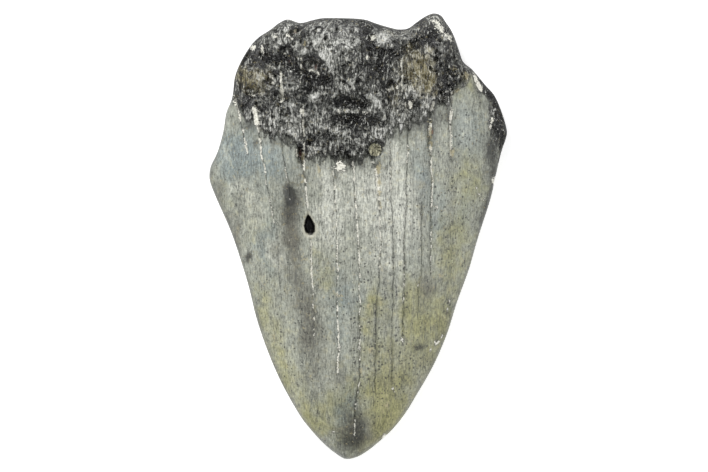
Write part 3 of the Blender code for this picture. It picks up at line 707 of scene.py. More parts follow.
# Black patches of the root: its own black, and painted shade in the hollows and pits they sit in.
ROOT_BLACK_AND_SHADE = [
    (-24.5, 40.3, 3.4, 1.3, 0, 1.3), (-20, 40.5, 3.2, 1.3, 0, 1.2), (-16.8, 39.6, 2, 1.1, -15, 1.2),
    (-13.8, 37.6, 2.4, 1, -40, 1.1), (-9.6, 36, 3.2, 0.9, -5, 1.3),
    (-10.3, 38.6, 2.6, 2.2, 0, 0.45), (-16.5, 42, 1.4, 1.3, 0, 0.4), (-14, 46.2, 1.9, 1.4, 0, 0.5),
    (-19.2, 35.8, 1.9, 1.8, 0, 0.5), (-24.3, 33.2, 1.7, 1.5, 0, 0.6),
    (-17.8, 31.6, 1.8, 1.4, 0, 0.5), (-16.8, 28.4, 1.2, 1, 0, 0.6),
    (-10.6, 33.3, 2.3, 0.7, 28, 1.4), (1.8, 45.6, 1.2, 2.8, 12, 1.6),
    (3.6, 42.4, 1.6, 1.6, -40, 1.2), (6.4, 41.6, 2.6, 1, -8, 1.2), (9.8, 42.2, 2.4, 0.9, 8, 1),
    (13.6, 44.4, 2.4, 1.4, 35, 1.2), (16.4, 43.6, 2.2, 1.2, 0, 1), (15.6, 46.6, 1.4, 2.4, -30, 0.9),
    (20.2, 43.6, 0.8, 1.8, 0, 0.8), (5.2, 38.6, 2.6, 2.2, 0, 1.3), (-1.5, 30.1, 4, 1.2, 0, 1.9),
    (-2, 26.5, 3.6, 1.1, -3, 1.9), (2.6, 26.6, 2.4, 1.2, 10, 0.8), (7.4, 33.8, 1.7, 1.3, -40, 0.5),
    (17.5, 36.4, 0.7, 3, 0, 0.9), (20.4, 36, 2, 3.6, 0, 0.9), (19.6, 32.8, 1.4, 1.6, 0, 0.8),
    (15, 39, 0.5, 3, 8, 0.8), (12.4, 36.4, 1.2, 1.2, 0, 0.6), (32.2, 27, 1.6, 5.6, 8, 1.1),
    (30.2, 32.6, 3, 0.9, -50, 1), (-3.6, 18.6, 1.5, 1.3, 0, 1), (-10.7, 21.8, 0.9, 0.4, 30, 1.2),
    (-3, 20.5, 5, 1.8, 0, 0.12), (-6.5, 23, 2, 1.6, -30, 0.6), (13.4, 29, 4, 1.4, 0, 0.5),
    (-22, 28.8, 2, 1.4, 0, 0.6), (-25.6, 30, 1.2, 1.6, 0, 0.6), (-11.6, 21.4, 0.7, 1.6, 0, 0.45),
    (-13.1, 18.6, 1.3, 2.4, 0, 1.1), (0.4, 39.4, 2.2, 1.8, 0, 0.7), (10.8, 44.4, 2.6, 1, 0, 0.5),
    (17.8, 44.4, 1.8, 1.2, 0, 0.5),
]

# %% Crusts and tan patches
MINERAL = [
    (18.3, 47.9, 2.6, 1, -54, 0.8), (20.8, 45.4, 1.1, 0.6, -50, 0.75),
    (-16, 45.7, 0.5, 0.6, 0, 0.9), (-15, 45, 0.4, 0.4, 0, 0.85), (-18.6, 45.6, 0.4, 0.9, -20, 0.75),
    (-23.9, 43.1, 0.8, 0.7, 30, 0.9), (-21.8, 42.6, 0.5, 1, 0, 0.95),
    (-16.6, 41.6, 0.5, 0.4, 0, 0.8), (-10.9, 37.7, 0.6, 0.4, 0, 0.95), (-9.2, 37, 0.4, 0.6, 0, 0.9),
    (-19.5, 36.2, 0.3, 0.7, 30, 0.95), (-19.3, 34.9, 0.4, 0.4, 0, 0.85),
    (-24, 32.3, 0.5, 0.4, 0, 0.9), (-17.4, 30.9, 0.6, 0.4, 0, 0.8), (3.3, 45.2, 0.6, 0.9, 20, 1),
    (2, 40.6, 0.5, 0.5, 0, 0.95), (6.9, 33.2, 0.6, 0.4, -30, 0.95), (8.9, 33.6, 0.35, 0.7, 0, 0.85),
    (11.85, 30.1, 0.6, 0.85, 0, 1.1), (-4.3, 28.4, 0.45, 0.6, 0, 0.9),
    (-2.5, 28.7, 0.4, 0.4, 0, 0.75), (1.6, 28, 0.8, 0.4, -20, 0.9), (-10, 19.8, 0.4, 0.6, 0, 0.85),
    (-13.9, 18.9, 0.3, 1, 0, 0.9), (-4.05, 15.6, 1.15, 1.15, 0, 1.3),
    (27.2, 35.7, 2.2, 0.42, -65, 1.05), (27.9, 34.2, 0.9, 0.6, -65, 0.95),
    (30.7, 26.7, 0.5, 0.7, 0, 1.1), (30.3, 25.1, 0.35, 0.5, 0, 0.9), (31.2, 13, 0.5, 1, 10, 1),
    (21.1, -14.6, 0.4, 0.5, 0, 0.8), (20.6, -16.6, 0.4, 0.5, 0, 0.7), (10.1, -23.5, 0.5, 0.6, 0, 1),
    (18.2, -24.4, 0.8, 0.55, 0, 1.05), (19.4, -22.9, 0.5, 0.4, 0, 0.9),
    (16.6, -26, 0.35, 0.4, 0, 0.85), (0.3, -25.4, 0.5, 0.6, 0, 0.9),
    (-4.4, -25.6, 0.5, 0.6, 0, 0.85), (-4.6, -13.2, 0.5, 0.5, 0, 0.7),
    (17.9, 6.8, 0.5, 0.45, 0, 0.9), (6.1, -45.9, 0.5, 1, -35, 1), (-5.7, -44.8, 0.4, 0.4, 0, 0.7),
    (8, -34.9, 0.3, 0.9, 20, 0.8), (27.8, 9.6, 0.5, 0.4, 0, 0.75), (28.8, 8.4, 0.6, 0.5, 0, 0.7),
    (27, 11.4, 0.4, 0.4, 0, 0.7), (-23.7, 28.8, 0.5, 1, 12, 1.2), (-23.3, 26.6, 0.5, 1.3, 8, 1.4),
    (-28.2, 30.6, 0.3, 0.9, 30, 1.1), (-27.4, 28.6, 0.25, 0.5, 20, 0.9),
    (-17.5, 36.4, 0.24, 1.4, 0, 1.1), (-17.1, 33, 0.3, 1.6, 4, 1.3),
    (-20.2, 36.8, 0.24, 0.7, 15, 1), (-13.1, 35, 0.2, 1.1, 0, 0.9), (-13, 28.6, 0.22, 0.9, 0, 1),
    (-12.6, 25.2, 0.22, 1.3, 0, 1), (-26.2, 24.2, 0.24, 0.7, 10, 0.9),
    (-25.6, 21.2, 0.22, 0.6, 10, 0.9),
]
TAN = [
    (4.6, 15, 0.6, 1.5, 0, 1.05), (4.9, 12.2, 0.45, 1, 0, 0.9), (5, 9.6, 0.45, 1, 0, 0.85),
    (5.2, 7, 0.35, 0.8, 0, 0.6), (16.3, 22.4, 0.45, 2.8, 0, 0.75), (16.9, 13, 0.3, 2.6, 0, 0.5),
    (21.4, 19.1, 0.5, 0.9, 0, 1), (-8.9, 15.2, 0.5, 0.9, 0, 0.75), (-12.6, 18, 0.45, 1.1, 0, 1),
    (-12.6, 13, 0.4, 1.6, 0, 0.55), (2.85, -3.5, 0.8, 0.9, 0, 0.55), (2.7, -16, 1.1, 0.7, 0, 0.7),
    (3, -25.9, 0.8, 1, 0, 0.75), (-6.9, -6.4, 0.9, 1, 0, 0.5), (-12.4, -5.1, 0.8, 1, 0, 0.6),
    (-19.4, -23.1, 1, 1, 0, 0.55), (-21.6, -10, 0.9, 1.4, 0, 0.35), (18.6, -8.6, 0.9, 1.3, 0, 0.45),
    (6.4, -38.9, 1.4, 1.2, 0, 0.5), (-4.6, -13.2, 0.9, 1, 0, 0.65), (0.5, -30.9, 0.6, 0.7, 0, 0.7),
    (-14.2, 46.8, 0.5, 0.6, 0, 0.5), (-12.2, 44, 0.35, 0.9, 0, 0.8), (-9.8, 38, 0.5, 0.5, 0, 0.6),
    (21.7, 38.5, 0.8, 0.8, 0, 0.5), (24.7, 36.5, 0.5, 1.2, 0, 0.75),
    (22.6, 33.2, 0.9, 0.5, 20, 0.7), (24, -6, 1, 1.6, 0, 0.35), (-10.9, 0.2, 1.4, 0.5, 0, 0.5),
]
RUST = [
    (-13.3, 18.9, 0.4, 1, 0, 1.1), (-9.7, 38.4, 0.45, 0.7, 0, 0.9), (-14.4, 46.4, 0.6, 0.4, 0, 0.5),
    (16.7, 23.8, 0.25, 0.9, 0, 0.9), (-15.6, 39.8, 0.5, 0.4, 0, 0.7),
]
FLAT_WASHES = {
    "pale": [(0, 0, 14, 24, 0, 0.5), (-22, 10, 3, 12, 10, 0.5)],
    "olive": [(4, -32, 14, 16, 0, 0.8), (-18, 6, 8, 14, 0, 0.4)],
    "brown": [(10, 10, 6, 12, 0, 0.6), (-10, -20, 5, 9, 10, 0.5)],
    "blue": [(18, 18, 10, 12, 0, 0.7), (-4, 22, 8, 6, 0, 0.5)],
    "stain": [(8, -8, 2, 3, 0, 0.4), (-8, 14, 1.6, 2.4, 0, 0.5)],
    "speckled": [(0, -10, 22, 30, 0, 0.7)],
    "ochre": [(10, 41, 8, 4, 0, 0.7), (-18, 38, 4, 3, 0, 0.6)],
    "root_grey": [(-4, 41, 10, 5, 0, 0.5)],
    "root_black": [(-20, 41, 6, 3, 0, 0.6), (2, 36, 8, 1.6, 0, 0.6)],
    "mineral": [(2, 35, 0.6, 0.8, 0, 0.7), (-14, 30, 0.6, 0.6, 0, 0.8)],
    "rust": [(-6, 38, 0.8, 0.6, 0, 0.8)],
    "tan": [(-14, -6, 1, 1.4, 0, 0.6), (9, -24, 1.2, 0.9, 0, 0.6)],
}
WASHES = {
    "pale": PALE, "olive": OLIVE, "brown": BROWN, "blue": BLUE, "stain": STAIN,
    "speckled": SPECKLED, "ochre": OCHRE, "root_grey": ROOT_GREY, "root_black": ROOT_BLACK_AND_SHADE,
    "mineral": MINERAL, "tan": TAN, "rust": RUST,
}
WANDER = {
    "pale": 2.2, "olive": 2.6, "brown": 1.5, "blue": 2.2, "stain": 0.4, "speckled": 3.0,
    "ochre": 1.0, "root_grey": 0.4, "root_black": 0.4, "mineral": 0.15, "tan": 0.25, "rust": 0.2,
}
PLUG = (3.9, 19.7, 1.60, 1.60)


def wandered(x, y, amount):
    """The same points, pushed about by noise in cells of 7 and 2.6 mm, by roughly this many mm at most."""
    push_x = noise(x, y, 7.0, 7.0, 51) + 0.6 * noise(x, y, 2.6, 2.6, 52)
    push_y = noise(x, y, 7.0, 7.0, 53) + 0.6 * noise(x, y, 2.6, 2.6, 54)
    return x + amount * push_x, y + amount * push_y


for name, shapes in WASHES.items():
    place = wandered(x, y, WANDER[name])
    store(name, spots(*place, shapes), spots(*place, FLAT_WASHES[name]))
store("plug", oval(x, y, *PLUG), np.full(x.shape, 9.0))

# %% [markdown]
# ## The finish: tools
#
# One stone finish covers the whole tooth, because root and enamel run into each other along a ragged
# line. Colours are written as they look on a screen, in sRGB hex, and turned linear by one function, since
# light adds up linearly. One helper adds a node, with its settings and with a value or a link for each
# input. Most of the recipe below is made by two more: one adds up weighted grains, and one lays coats of
# colour over one another.

# %% Colour and node helpers


def linear(hex_colour):
    """sRGB to linear light: c / 12.92 when dark, otherwise ((c + 0.055) / 1.055)^2.4, for each channel."""
    channels = [int(hex_colour[k:k + 2], 16) / 255 for k in (0, 2, 4)]
    return [c / 12.92 if c <= 0.04045 else ((c + 0.055) / 1.055) ** 2.4 for c in channels] + [1.0]


stone = bpy.data.materials.new("water_worn_phosphate_stone")
stone.use_nodes = True
tree = stone.node_tree
shader = tree.nodes["Principled BSDF"]
mesh.materials.append(stone)


def add(kind, settings={}, inputs={}, output=0):
    """Adds a node, sets its own settings, gives each named input a value or a link, returns one output."""
    made = tree.nodes.new(kind)
    for key, value in settings.items():
        setattr(made, key, value)
    for key, value in inputs.items():
        if isinstance(value, bpy.types.NodeSocket):
            tree.links.new(value, made.inputs[key])
        else:
            made.inputs[key].default_value = value
    return made.outputs[output]


MIX = "ShaderNodeMix"
MATH = "ShaderNodeMath"
RANGE = "ShaderNodeMapRange"
NOISE = "ShaderNodeTexNoise"
COLOUR = {"data_type": "RGBA"}
SOFT = {"interpolation_type": "SMOOTHSTEP"}


def total(start, *weighted):
    """The start plus weight times value, for each pair of a weight and a value."""
    for weight, value in weighted:
        start = add(MATH, {"operation": "MULTIPLY_ADD"}, {0: value, 1: weight, 2: start})
    return start


def coated(below, *coats):
    """Coats laid one over another. Each is a mask, a colour, and how well it covers where the mask is 1."""
    for mask, above, cover in coats:
        share = add(MATH, {"operation": "MULTIPLY"}, {0: mask, 1: cover})
        below = add(MIX, COLOUR, {0: share, 6: below, 7: above}, 2)
    return below


shape_maps = (
    "root_reach", "crack_offset", "crack_width", "crack_fill", "root_relief", "pit_tone", "hole",
    "edge_depth", "plug",
)
maps = {
    name: add("ShaderNodeAttribute", {"attribute_name": name}, {}, "Fac")
    for name in (*shape_maps, *WASHES)
}
print("maps read by the finish:", ", ".join(maps))

# %% [markdown]
# ## The finish: grains
#
# Every pattern is made from noise on object coordinates, so it stays fixed to the stone, and its scale is
# one over the real size of its lumps. Streaks, fibres and hairs are the same noise with the coordinate
# along the tooth made smaller, which draws the lumps out. All of it has a mean of 1/2, so weights add up
# to a shift that the recipes below take off again.

# %% Grains, clouds, streaks and hairs
HAIR_WIDTH = 0.30
WRINKLE_SIZE = 4.6

position = add("ShaderNodeTexCoord", {}, {}, "Object")
drawn_out, wavy, lengthwise, fibrous, dashed = [
    add("ShaderNodeMapping", {}, {"Vector": position, "Scale": shares})
    for shares in (
        (1.0, 0.22, 0.4), (1.0, 0.75, 0.75), (1.0, 0.035, 0.3), (1.0, 0.25, 0.4), (0.4, 1.0, 0.3),
    )
]

# For each name in turn: the size of its largest lumps in mm, its coordinates and its detail.
silt, grit, grain, crumb, patch, streak, band, fibre, thread, dash = [
    add(NOISE, {}, {"Vector": vector, "Scale": 1 / (size * MM), "Detail": detail, "Roughness": 0.62})
    for size, vector, detail in (
        (0.28, drawn_out, 1.0), (0.38, position, 2.0), (0.80, position, 3.0), (1.90, position, 3.0),
        (4.50, position, 3.0), (0.80, lengthwise, 3.0), (2.80, lengthwise, 3.0), (1.20, fibrous, 3.0),
        (0.55, fibrous, 2.0), (1.50, dashed, 3.0),
    )
]
hair = add(NOISE, {}, {"Vector": drawn_out, "Scale": 1 / (HAIR_WIDTH * MM), "Detail": 1.0, "Distortion": 0.6})
wrinkle = add(NOISE, {}, {"Vector": wavy, "Scale": 1 / (WRINKLE_SIZE * MM), "Detail": 1.5, "Distortion": 1.1})

# %% [markdown]
# ## The finish: specks
#
# The enamel is peppered with dark mineral grains. A Voronoi pattern gives one to each cell, and
# its random colour gives a number by which only some cells keep theirs. Fine and coarse cells together
# give small grains everywhere and a few large ones. The speckled map makes them denser in places.

# %% Dark grains


def specks(cell_mm, least, smallest, largest):
    """A grain is where the distance from a cell's centre is under its size, less a little grit. The size
    grows from smallest to largest, in cells, with the cell's random number plus half the speckled map."""
    cells = {"Vector": position, "Scale": 1 / (cell_mm * MM), "Randomness": 1.0}
    away = add("ShaderNodeTexVoronoi", {}, cells, "Distance")
    lot = add("ShaderNodeSeparateColor", {}, {0: add("ShaderNodeTexVoronoi", {}, cells, "Color")})
    sizes = {"From Min": least, "From Max": 1.5, "To Min": smallest, "To Max": largest}
    size = add(RANGE, {}, {"Value": total(lot, (0.50, maps["speckled"])), **sizes})
    inside = add(MATH, {"operation": "SUBTRACT"}, {0: total(size, (-0.40, grit)), 1: away})
    return add(RANGE, SOFT, {"Value": inside, "From Min": -0.2, "From Max": -0.06})


fine_specks = specks(0.80, 0.6, 0.04, 0.45)
coarse_specks = specks(2.4, 0.75, 0.02, 0.17)
speck = add(MATH, {"operation": "MAXIMUM"}, {0: fine_specks, 1: coarse_specks})
print("dark grains in cells of 0.8 and 2.4 mm")

# %% [markdown]
# ## The finish: enamel
#
# The enamel is a dense, satin phosphate. Its washes are laid one over another like thin paint, each with
# a ragged edge from noise. Then grit, streaks and patches make it lighter and darker, hairlines and small
# dark specks go on top, and last the smudges.

# %% Enamel colour
ENAMEL_GREY = linear("9C9F93")
ENAMEL_TAN = linear("A59D72")
# Dark of the stains and grains, also used for the painted shade along the outline.
STAIN_AND_SHADE_DARK = linear("2B2D2B")
SMUDGE_BLACK = linear("131513")
HAIRLINE = linear("4C5252")
ENAMEL_COATS = [
    ("blue", "7F8987", 2.4, 0.05, 1.0),
    ("pale", "C2C4B9", 2.4, 0.05, 1.0),
    ("olive", "8F8E60", 1.9, 0.0, 1.1),
    ("brown", "67665C", 2.1, 0.05, 1.0),
]


def ragged(name, wobble, amount, start, end):
    """A soft-edged mask: the map plus amount times (noise - 1/2), taken from 0 at start to 1 at end."""
    value = add(MATH, {"operation": "ADD"}, {0: maps[name], 1: total(-amount / 2, (amount, wobble))})
    return add(RANGE, SOFT, {"Value": value, "From Min": start, "From Max": end})


washing = total(-0.02, (0.45, patch), (0.32, streak), (0.27, crumb))
washes = [
    (ragged(name, washing, swing, start, end), linear(hex_colour), 1.0)
    for name, hex_colour, swing, start, end in ENAMEL_COATS
]
tan_mottle = add(RANGE, SOFT, {"Value": crumb, "From Min": 0.54, "From Max": 0.70})
enamel = coated(ENAMEL_GREY, *washes, (tan_mottle, ENAMEL_TAN, 0.20))

light = total(-2.25, (1.8, silt), (1.4, grit), (0.7, grain), (0.9, streak), (0.8, band), (0.9, crumb))
enamel = add("ShaderNodeHueSaturation", {}, {"Value": light, "Color": enamel})

hairline = add(RANGE, SOFT, {"Value": total(streak, (0.35, grit)), "From Min": 0.80, "From Max": 0.88})
smudge = ragged("stain", grain, 1.4, 0.12, 0.95)
enamel = coated(
    enamel, (hairline, HAIRLINE, 0.55), (speck, STAIN_AND_SHADE_DARK, 0.78), (smudge, SMUDGE_BLACK, 0.86),
)
print("enamel:", len(ENAMEL_COATS), "washes, then mottle, light and shade, hairlines, specks and smudges")

# %% [markdown]
# ## The finish: root
#
# The root is the same mineral but porous and nearly black, polished on its high places by handling and
# by sand, and dull in its hollows. So one number, the tone, is added up from grains and fine hairs and
# from the maps: knobs and grey patches raise it, hollows, pit rims and the broken edge lower it. That
# darkening is partly painted shade, and the light floors of the pits are painted light. A ramp turns the
# tone into black, greys and white. It could be painted on, but a sum keeps every part in step.

# %% Root tone
ROOT_TONES = [
    (0.0, "050505"), (0.24, "141413"), (0.42, "3A3B38"), (0.57, "6E6F6A"), (0.72, "ABACA5"), (0.86, "F0F0EA"),
]
ROOT_MEAN_TONE = 0.445

tone = total(
    -3.35, (0.9, grain), (1.2, crumb), (0.8, patch), (0.8, fibre), (0.8, thread), (1.6, hair), (0.8, grit),
)
calmer = total(0.70, (-0.22, maps["root_grey"]))
rim_shade = add(RANGE, SOFT, {"Value": maps["edge_depth"], "From Min": 3.4, "From Max": 0.4})
# Painted shade and light: low relief, pit rims, black patches and the broken edge darken the tone, pit floors
# lighten it.
tone = total(
    ROOT_MEAN_TONE, (calmer, tone), (0.13, maps["root_relief"]), (0.62, maps["pit_tone"]),
    (0.23, maps["root_grey"]), (-0.33, maps["root_black"]), (-0.12, rim_shade),
)
ramp = tree.nodes.new("ShaderNodeValToRGB")
while len(ramp.color_ramp.elements) < len(ROOT_TONES):
    ramp.color_ramp.elements.new(0.5)
for stop, (place, hex_colour) in zip(ramp.color_ramp.elements, ROOT_TONES):
    stop.position = place
    stop.color = linear(hex_colour)
tree.links.new(tone, ramp.inputs["Fac"])
print("root: a ramp of", len(ramp.color_ramp.elements), "tones")

# %% [markdown]
# ## The finish: fibres, glints and wrinkles
#
# Where the fibres of the old bone show, the root is ochre with dark lines between the fibres. Polished
# points get painted white glints. Worn layers end in thin curved edges, with a line of painted shade below
# and a painted highlight above: both are contour lines of one large, bent noise, a little apart, so they
# run side by side like the real ones.

# %% Root fibres, glints and wrinkles
ROOT_OCHRE = linear("A1966B")
FIBRE_DARK = linear("262419")
FIBRE_BRIGHT = linear("D2CBAB")
# White of the painted glints and painted lit edges.
PAINTED_GLINT_WHITE = linear("E2E3DC")
# Dark of the painted shade along the wrinkle edges.
WRINKLE_SHADE_DARK = linear("121211")

fibre_sum = total(fibre, (0.8, thread), (1.2, hair))
fibre_mask = add(RANGE, SOFT, {"Value": fibre_sum, "From Min": 1.26, "From Max": 1.56})
bright_fibre = add(RANGE, SOFT, {"Value": fibre_sum, "From Min": 1.60, "From Max": 1.78})
fibres = coated(FIBRE_DARK, (fibre_mask, ROOT_OCHRE, 1.0), (bright_fibre, FIBRE_BRIGHT, 1.0))
ochre = ragged("ochre", crumb, 1.8, 0.25, 1.0)

# Painted highlights: white glints where hair, crumb and grit peak together.
painted_glint = total(hair, (0.8, crumb), (0.6, grit), (0.04, maps["root_black"]))
painted_glint = add(RANGE, SOFT, {"Value": painted_glint, "From Min": 1.42, "From Max": 1.48})


def contour(level, outer, inner):
    """A line where the wrinkle noise is at the level: 1 within inner of it, 0 beyond outer."""
    away = add(MATH, {"operation": "SUBTRACT"}, {0: wrinkle, 1: level})
    away = add(MATH, {"operation": "ABSOLUTE"}, {0: away})
    return add(RANGE, SOFT, {"Value": away, "From Min": outer, "From Max": inner})


# Painted shade and painted highlight along the wrinkle edges.
broken_up = add(RANGE, SOFT, {"Value": grain, "From Min": 0.42, "From Max": 0.58})
painted_wrinkle_light = add(MATH, {"operation": "MULTIPLY"}, {0: contour(0.505, 0.020, 0.006), 1: broken_up})
painted_wrinkle_shade = contour(0.465, 0.035, 0.008)
root = coated(
    ramp.outputs["Color"], (ochre, fibres, 0.68), (painted_glint, PAINTED_GLINT_WHITE, 0.90),
    (painted_wrinkle_shade, WRINKLE_SHADE_DARK, 0.65), (painted_wrinkle_light, PAINTED_GLINT_WHITE, 0.50),
)
print("hairs", HAIR_WIDTH, "mm wide, wrinkles about", WRINKLE_SIZE, "mm apart")

# %% [markdown]
# ## The finish: root meets enamel
#
# Root and enamel meet along the ragged end of the enamel, which fibrous noise pulls into teeth. Just below
# it the enamel is soaked dark. Along the tooth's thin edge both get a little painted shade.

# %% Join root and enamel
ragged_reach = total(maps["root_reach"], (6.0, fibre), (3.4, crumb), (3.0, thread))
root_mask = add(RANGE, SOFT, {"Value": ragged_reach, "From Min": 5.2, "From Max": 7.2})
soaked = add(RANGE, SOFT, {"Value": ragged_reach, "From Min": 2.6, "From Max": 6.2})
# Painted shade: the colour darkens over the last 1.2 mm to the outline.
painted_edge_shade = add(RANGE, SOFT, {"Value": maps["edge_depth"], "From Min": 1.2, "From Max": 0.0})
colour = coated(
    enamel, (soaked, STAIN_AND_SHADE_DARK, 0.30), (root_mask, root, 1.0), (painted_edge_shade, STAIN_AND_SHADE_DARK, 0.50),
)
print(len(tree.nodes), "nodes so far")

# %% [markdown]
# ## The finish: cracks
#
# A crack's line is where the signed distance is less than a share of the crack's width: dark where it is
# open, pale where calcite has filled it. Noise bends the line, makes it thick and thin, and breaks the
# filling into dashes. The filling sits a tenth of a millimetre to one side, so that a dark line stays
# beside it, as on the real tooth.

# %% Open and filled cracks
# Dark of open cracks and of the gaps between sand grains, also the painted shade round the plug.
CRACK_AND_SHADE_DARK = linear("2F3230")
CALCITE = linear("F6F4E8")
CALCITE_GREY = linear("CBCABC")
MEAN_BEND = 0.50
FILLING_ASIDE = 0.10

bent = total(maps["crack_offset"], (0.6, grain), (0.4, grit))
off_line, off_filling = [
    add(MATH, {"operation": "ABSOLUTE"}, {0: add(MATH, {"operation": "SUBTRACT"}, {0: bent, 1: middle})})
    for middle in (MEAN_BEND, MEAN_BEND + FILLING_ASIDE)
]
thickness = add(RANGE, {}, {
    "Value": total(dash, (0.8, grit)), "From Min": 0.65, "From Max": 1.15, "To Min": 0.20, "To Max": 1.15,
})
thickness = add(MATH, {"operation": "MULTIPLY"}, {0: maps["crack_width"], 1: thickness})
thickness = add(MATH, {"operation": "MAXIMUM"}, {0: thickness, 1: 0.02})
there = add(RANGE, SOFT, {"Value": maps["crack_width"], "From Min": 0.04, "From Max": 0.2})
filled = ragged("crack_fill", total(0.0, (0.45, patch), (0.55, dash)), 3.2, 0.50, 0.68)

line_share = add(MATH, {"operation": "DIVIDE"}, {0: off_line, 1: thickness})
opened = add(RANGE, SOFT, {"Value": line_share, "From Min": 0.60, "From Max": 0.15})
opened = add(MATH, {"operation": "MULTIPLY"}, {0: total(1.0, (-0.7, filled)), 1: opened})
opened = add(MATH, {"operation": "MULTIPLY"}, {0: there, 1: opened})
halo = add(RANGE, SOFT, {"Value": off_line, "From Min": 0.7, "From Max": 0.05})
halo = add(MATH, {"operation": "MULTIPLY"}, {0: there, 1: halo})
fill_share = add(MATH, {"operation": "DIVIDE"}, {0: off_filling, 1: thickness})
filling = add(RANGE, SOFT, {"Value": fill_share, "From Min": 0.70, "From Max": 0.42})
filling = add(MATH, {"operation": "MULTIPLY"}, {0: filling, 1: filled})
filling = add(MATH, {"operation": "MULTIPLY"}, {0: filling, 1: there})

calcite_mask = add(RANGE, SOFT, {"Value": grit, "From Min": 0.35, "From Max": 0.60})
calcite = coated(CALCITE_GREY, (calcite_mask, CALCITE, 1.0))
colour = coated(
    colour, (halo, CRACK_AND_SHADE_DARK, 0.12), (opened, CRACK_AND_SHADE_DARK, 0.70), (filling, calcite, 0.92),
)
print("cracks filled", FILLING_ASIDE, "mm beside their middle")

# %% [markdown]
# ## The finish: crusts, plug and hole
#
# Crusts of white calcite, tan patches and rust spots sit on top, each with a crumbly edge. Last come a
# round plug of cemented sand in an old boring, with a ring of painted shade round it, and the open hole,
# filled with painted shade inside and with a pale rim. Rims follow the maps of distance in shares,
# nibbled by grain.

# %% Crusts, plug and hole
FILL_TAN = linear("B4AA86")
RUST_BROWN = linear("66443A")
PLUG_SAND = linear("C6C3A6")
HOLE_SHADE_DARK = linear("0C0B09")
HOLE_RIM = linear("C9C7B4")

tan_patch = ragged("tan", grain, 3.0, 0.25, 0.85)
rust_spot = ragged("rust", grain, 1.6, 0.35, 0.70)
crust = ragged("mineral", total(0.0, (0.45, grain), (0.55, grit)), 3.4, 0.42, 0.60)
crust_here = add(RANGE, SOFT, {"Value": maps["mineral"], "From Min": 0.08, "From Max": 0.25})
crust = add(MATH, {"operation": "MULTIPLY"}, {0: crust, 1: crust_here})

plug_edge = total(maps["plug"], (0.5, grain))
# Painted shade: a dark ring where the plug meets the wall of its pit.
plug_rim_shade = add(RANGE, SOFT, {"Value": plug_edge, "From Min": 1.55, "From Max": 1.3})
plug_face = add(RANGE, SOFT, {"Value": plug_edge, "From Min": 1.25, "From Max": 1.1})
plug_grains = add(RANGE, SOFT, {"Value": grain, "From Min": 0.34, "From Max": 0.50})
sand = coated(CRACK_AND_SHADE_DARK, (plug_grains, PLUG_SAND, 1.0))

hole_edge = total(maps["hole"], (0.6, grain))
hole_rim = add(RANGE, SOFT, {"Value": hole_edge, "From Min": 1.85, "From Max": 1.50})
# Painted shade: near black inside the hole.
painted_hole_shade = add(RANGE, SOFT, {"Value": hole_edge, "From Min": 1.40, "From Max": 1.22})
colour = coated(
    colour, (tan_patch, FILL_TAN, 0.75), (rust_spot, RUST_BROWN, 0.70), (crust, calcite, 0.97),
    (plug_rim_shade, CRACK_AND_SHADE_DARK, 0.80), (plug_face, sand, 1.0), (hole_rim, HOLE_RIM, 0.62), (painted_hole_shade, HOLE_SHADE_DARK, 1.0),
)
tree.links.new(colour, shader.inputs["Base Color"])
print(len(MINERAL), "crusts,", len(TAN), "tan patches,", len(RUST), "rust spots")

# %% [markdown]
# ## The finish: gloss and fine relief
#
# Roughness says how blurred the reflections are. Polished black root is the glossiest, enamel is satin,
# and the root's broken edge and the mineral fillings are matt. The finest relief is left to a Bump node.
# Its height is in millimetres: deep in the root's grain, with a ledge at each wrinkle, and very slight in
# the enamel's streaks. Crusts are flat on top.

# %% Roughness and bump
ENAMEL_ROUGHNESS = 0.48
ROOT_ROUGHNESS = 0.16
CALCITE_ROUGHNESS = 0.80
BROKEN_ROUGHNESS = 0.85
CRUST_TOP = 1.9
PHOSPHATE_IOR = 1.62

root_gloss = add(RANGE, {}, {
    "Value": crumb, "From Min": 0.3, "From Max": 0.7,
    "To Min": ROOT_ROUGHNESS - 0.06, "To Max": ROOT_ROUGHNESS + 0.22,
})
enamel_gloss = add(RANGE, {}, {
    "Value": streak, "From Min": 0.3, "From Max": 0.7,
    "To Min": ENAMEL_ROUGHNESS - 0.06, "To Max": ENAMEL_ROUGHNESS + 0.08,
})
broken = add(RANGE, SOFT, {"Value": maps["edge_depth"], "From Min": 3.2, "From Max": 1.2})
root_gloss = add(MIX, {}, {0: broken, 2: root_gloss, 3: BROKEN_ROUGHNESS})
gloss = add(MIX, {}, {0: root_mask, 2: enamel_gloss, 3: root_gloss})
chalky = add(MATH, {"operation": "MAXIMUM"}, {0: crust, 1: filling})
tree.links.new(add(MIX, {}, {0: chalky, 2: gloss, 3: CALCITE_ROUGHNESS}), shader.inputs["Roughness"])

ledge = add(RANGE, SOFT, {"Value": wrinkle, "From Min": 0.46, "From Max": 0.52})
root_height = total(0.0, (1.0, grain), (1.8, crumb), (0.9, thread), (0.25, hair), (0.6, ledge))
enamel_height = total(0.0, (0.05, grit), (0.08, streak))
fine = add(MIX, {}, {0: root_mask, 2: enamel_height, 3: root_height})
fine = total(fine, (-0.12, opened), (0.12, filling), (-0.03, speck))
fine = add(MIX, {}, {0: crust, 2: fine, 3: CRUST_TOP})
bump = add("ShaderNodeBump", {}, {"Height": fine, "Distance": MM, "Strength": 1.0}, "Normal")
tree.links.new(bump, shader.inputs["Normal"])

shader.inputs["IOR"].default_value = PHOSPHATE_IOR
print("nodes in the finish:", len(tree.nodes))

# %% [markdown]
# ## What the piece stands for
#
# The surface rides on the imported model's only body and takes the place of its solid in the picture. The
# solid stays for collisions.

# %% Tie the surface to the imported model
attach(tooth, "root")
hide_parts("tooth")

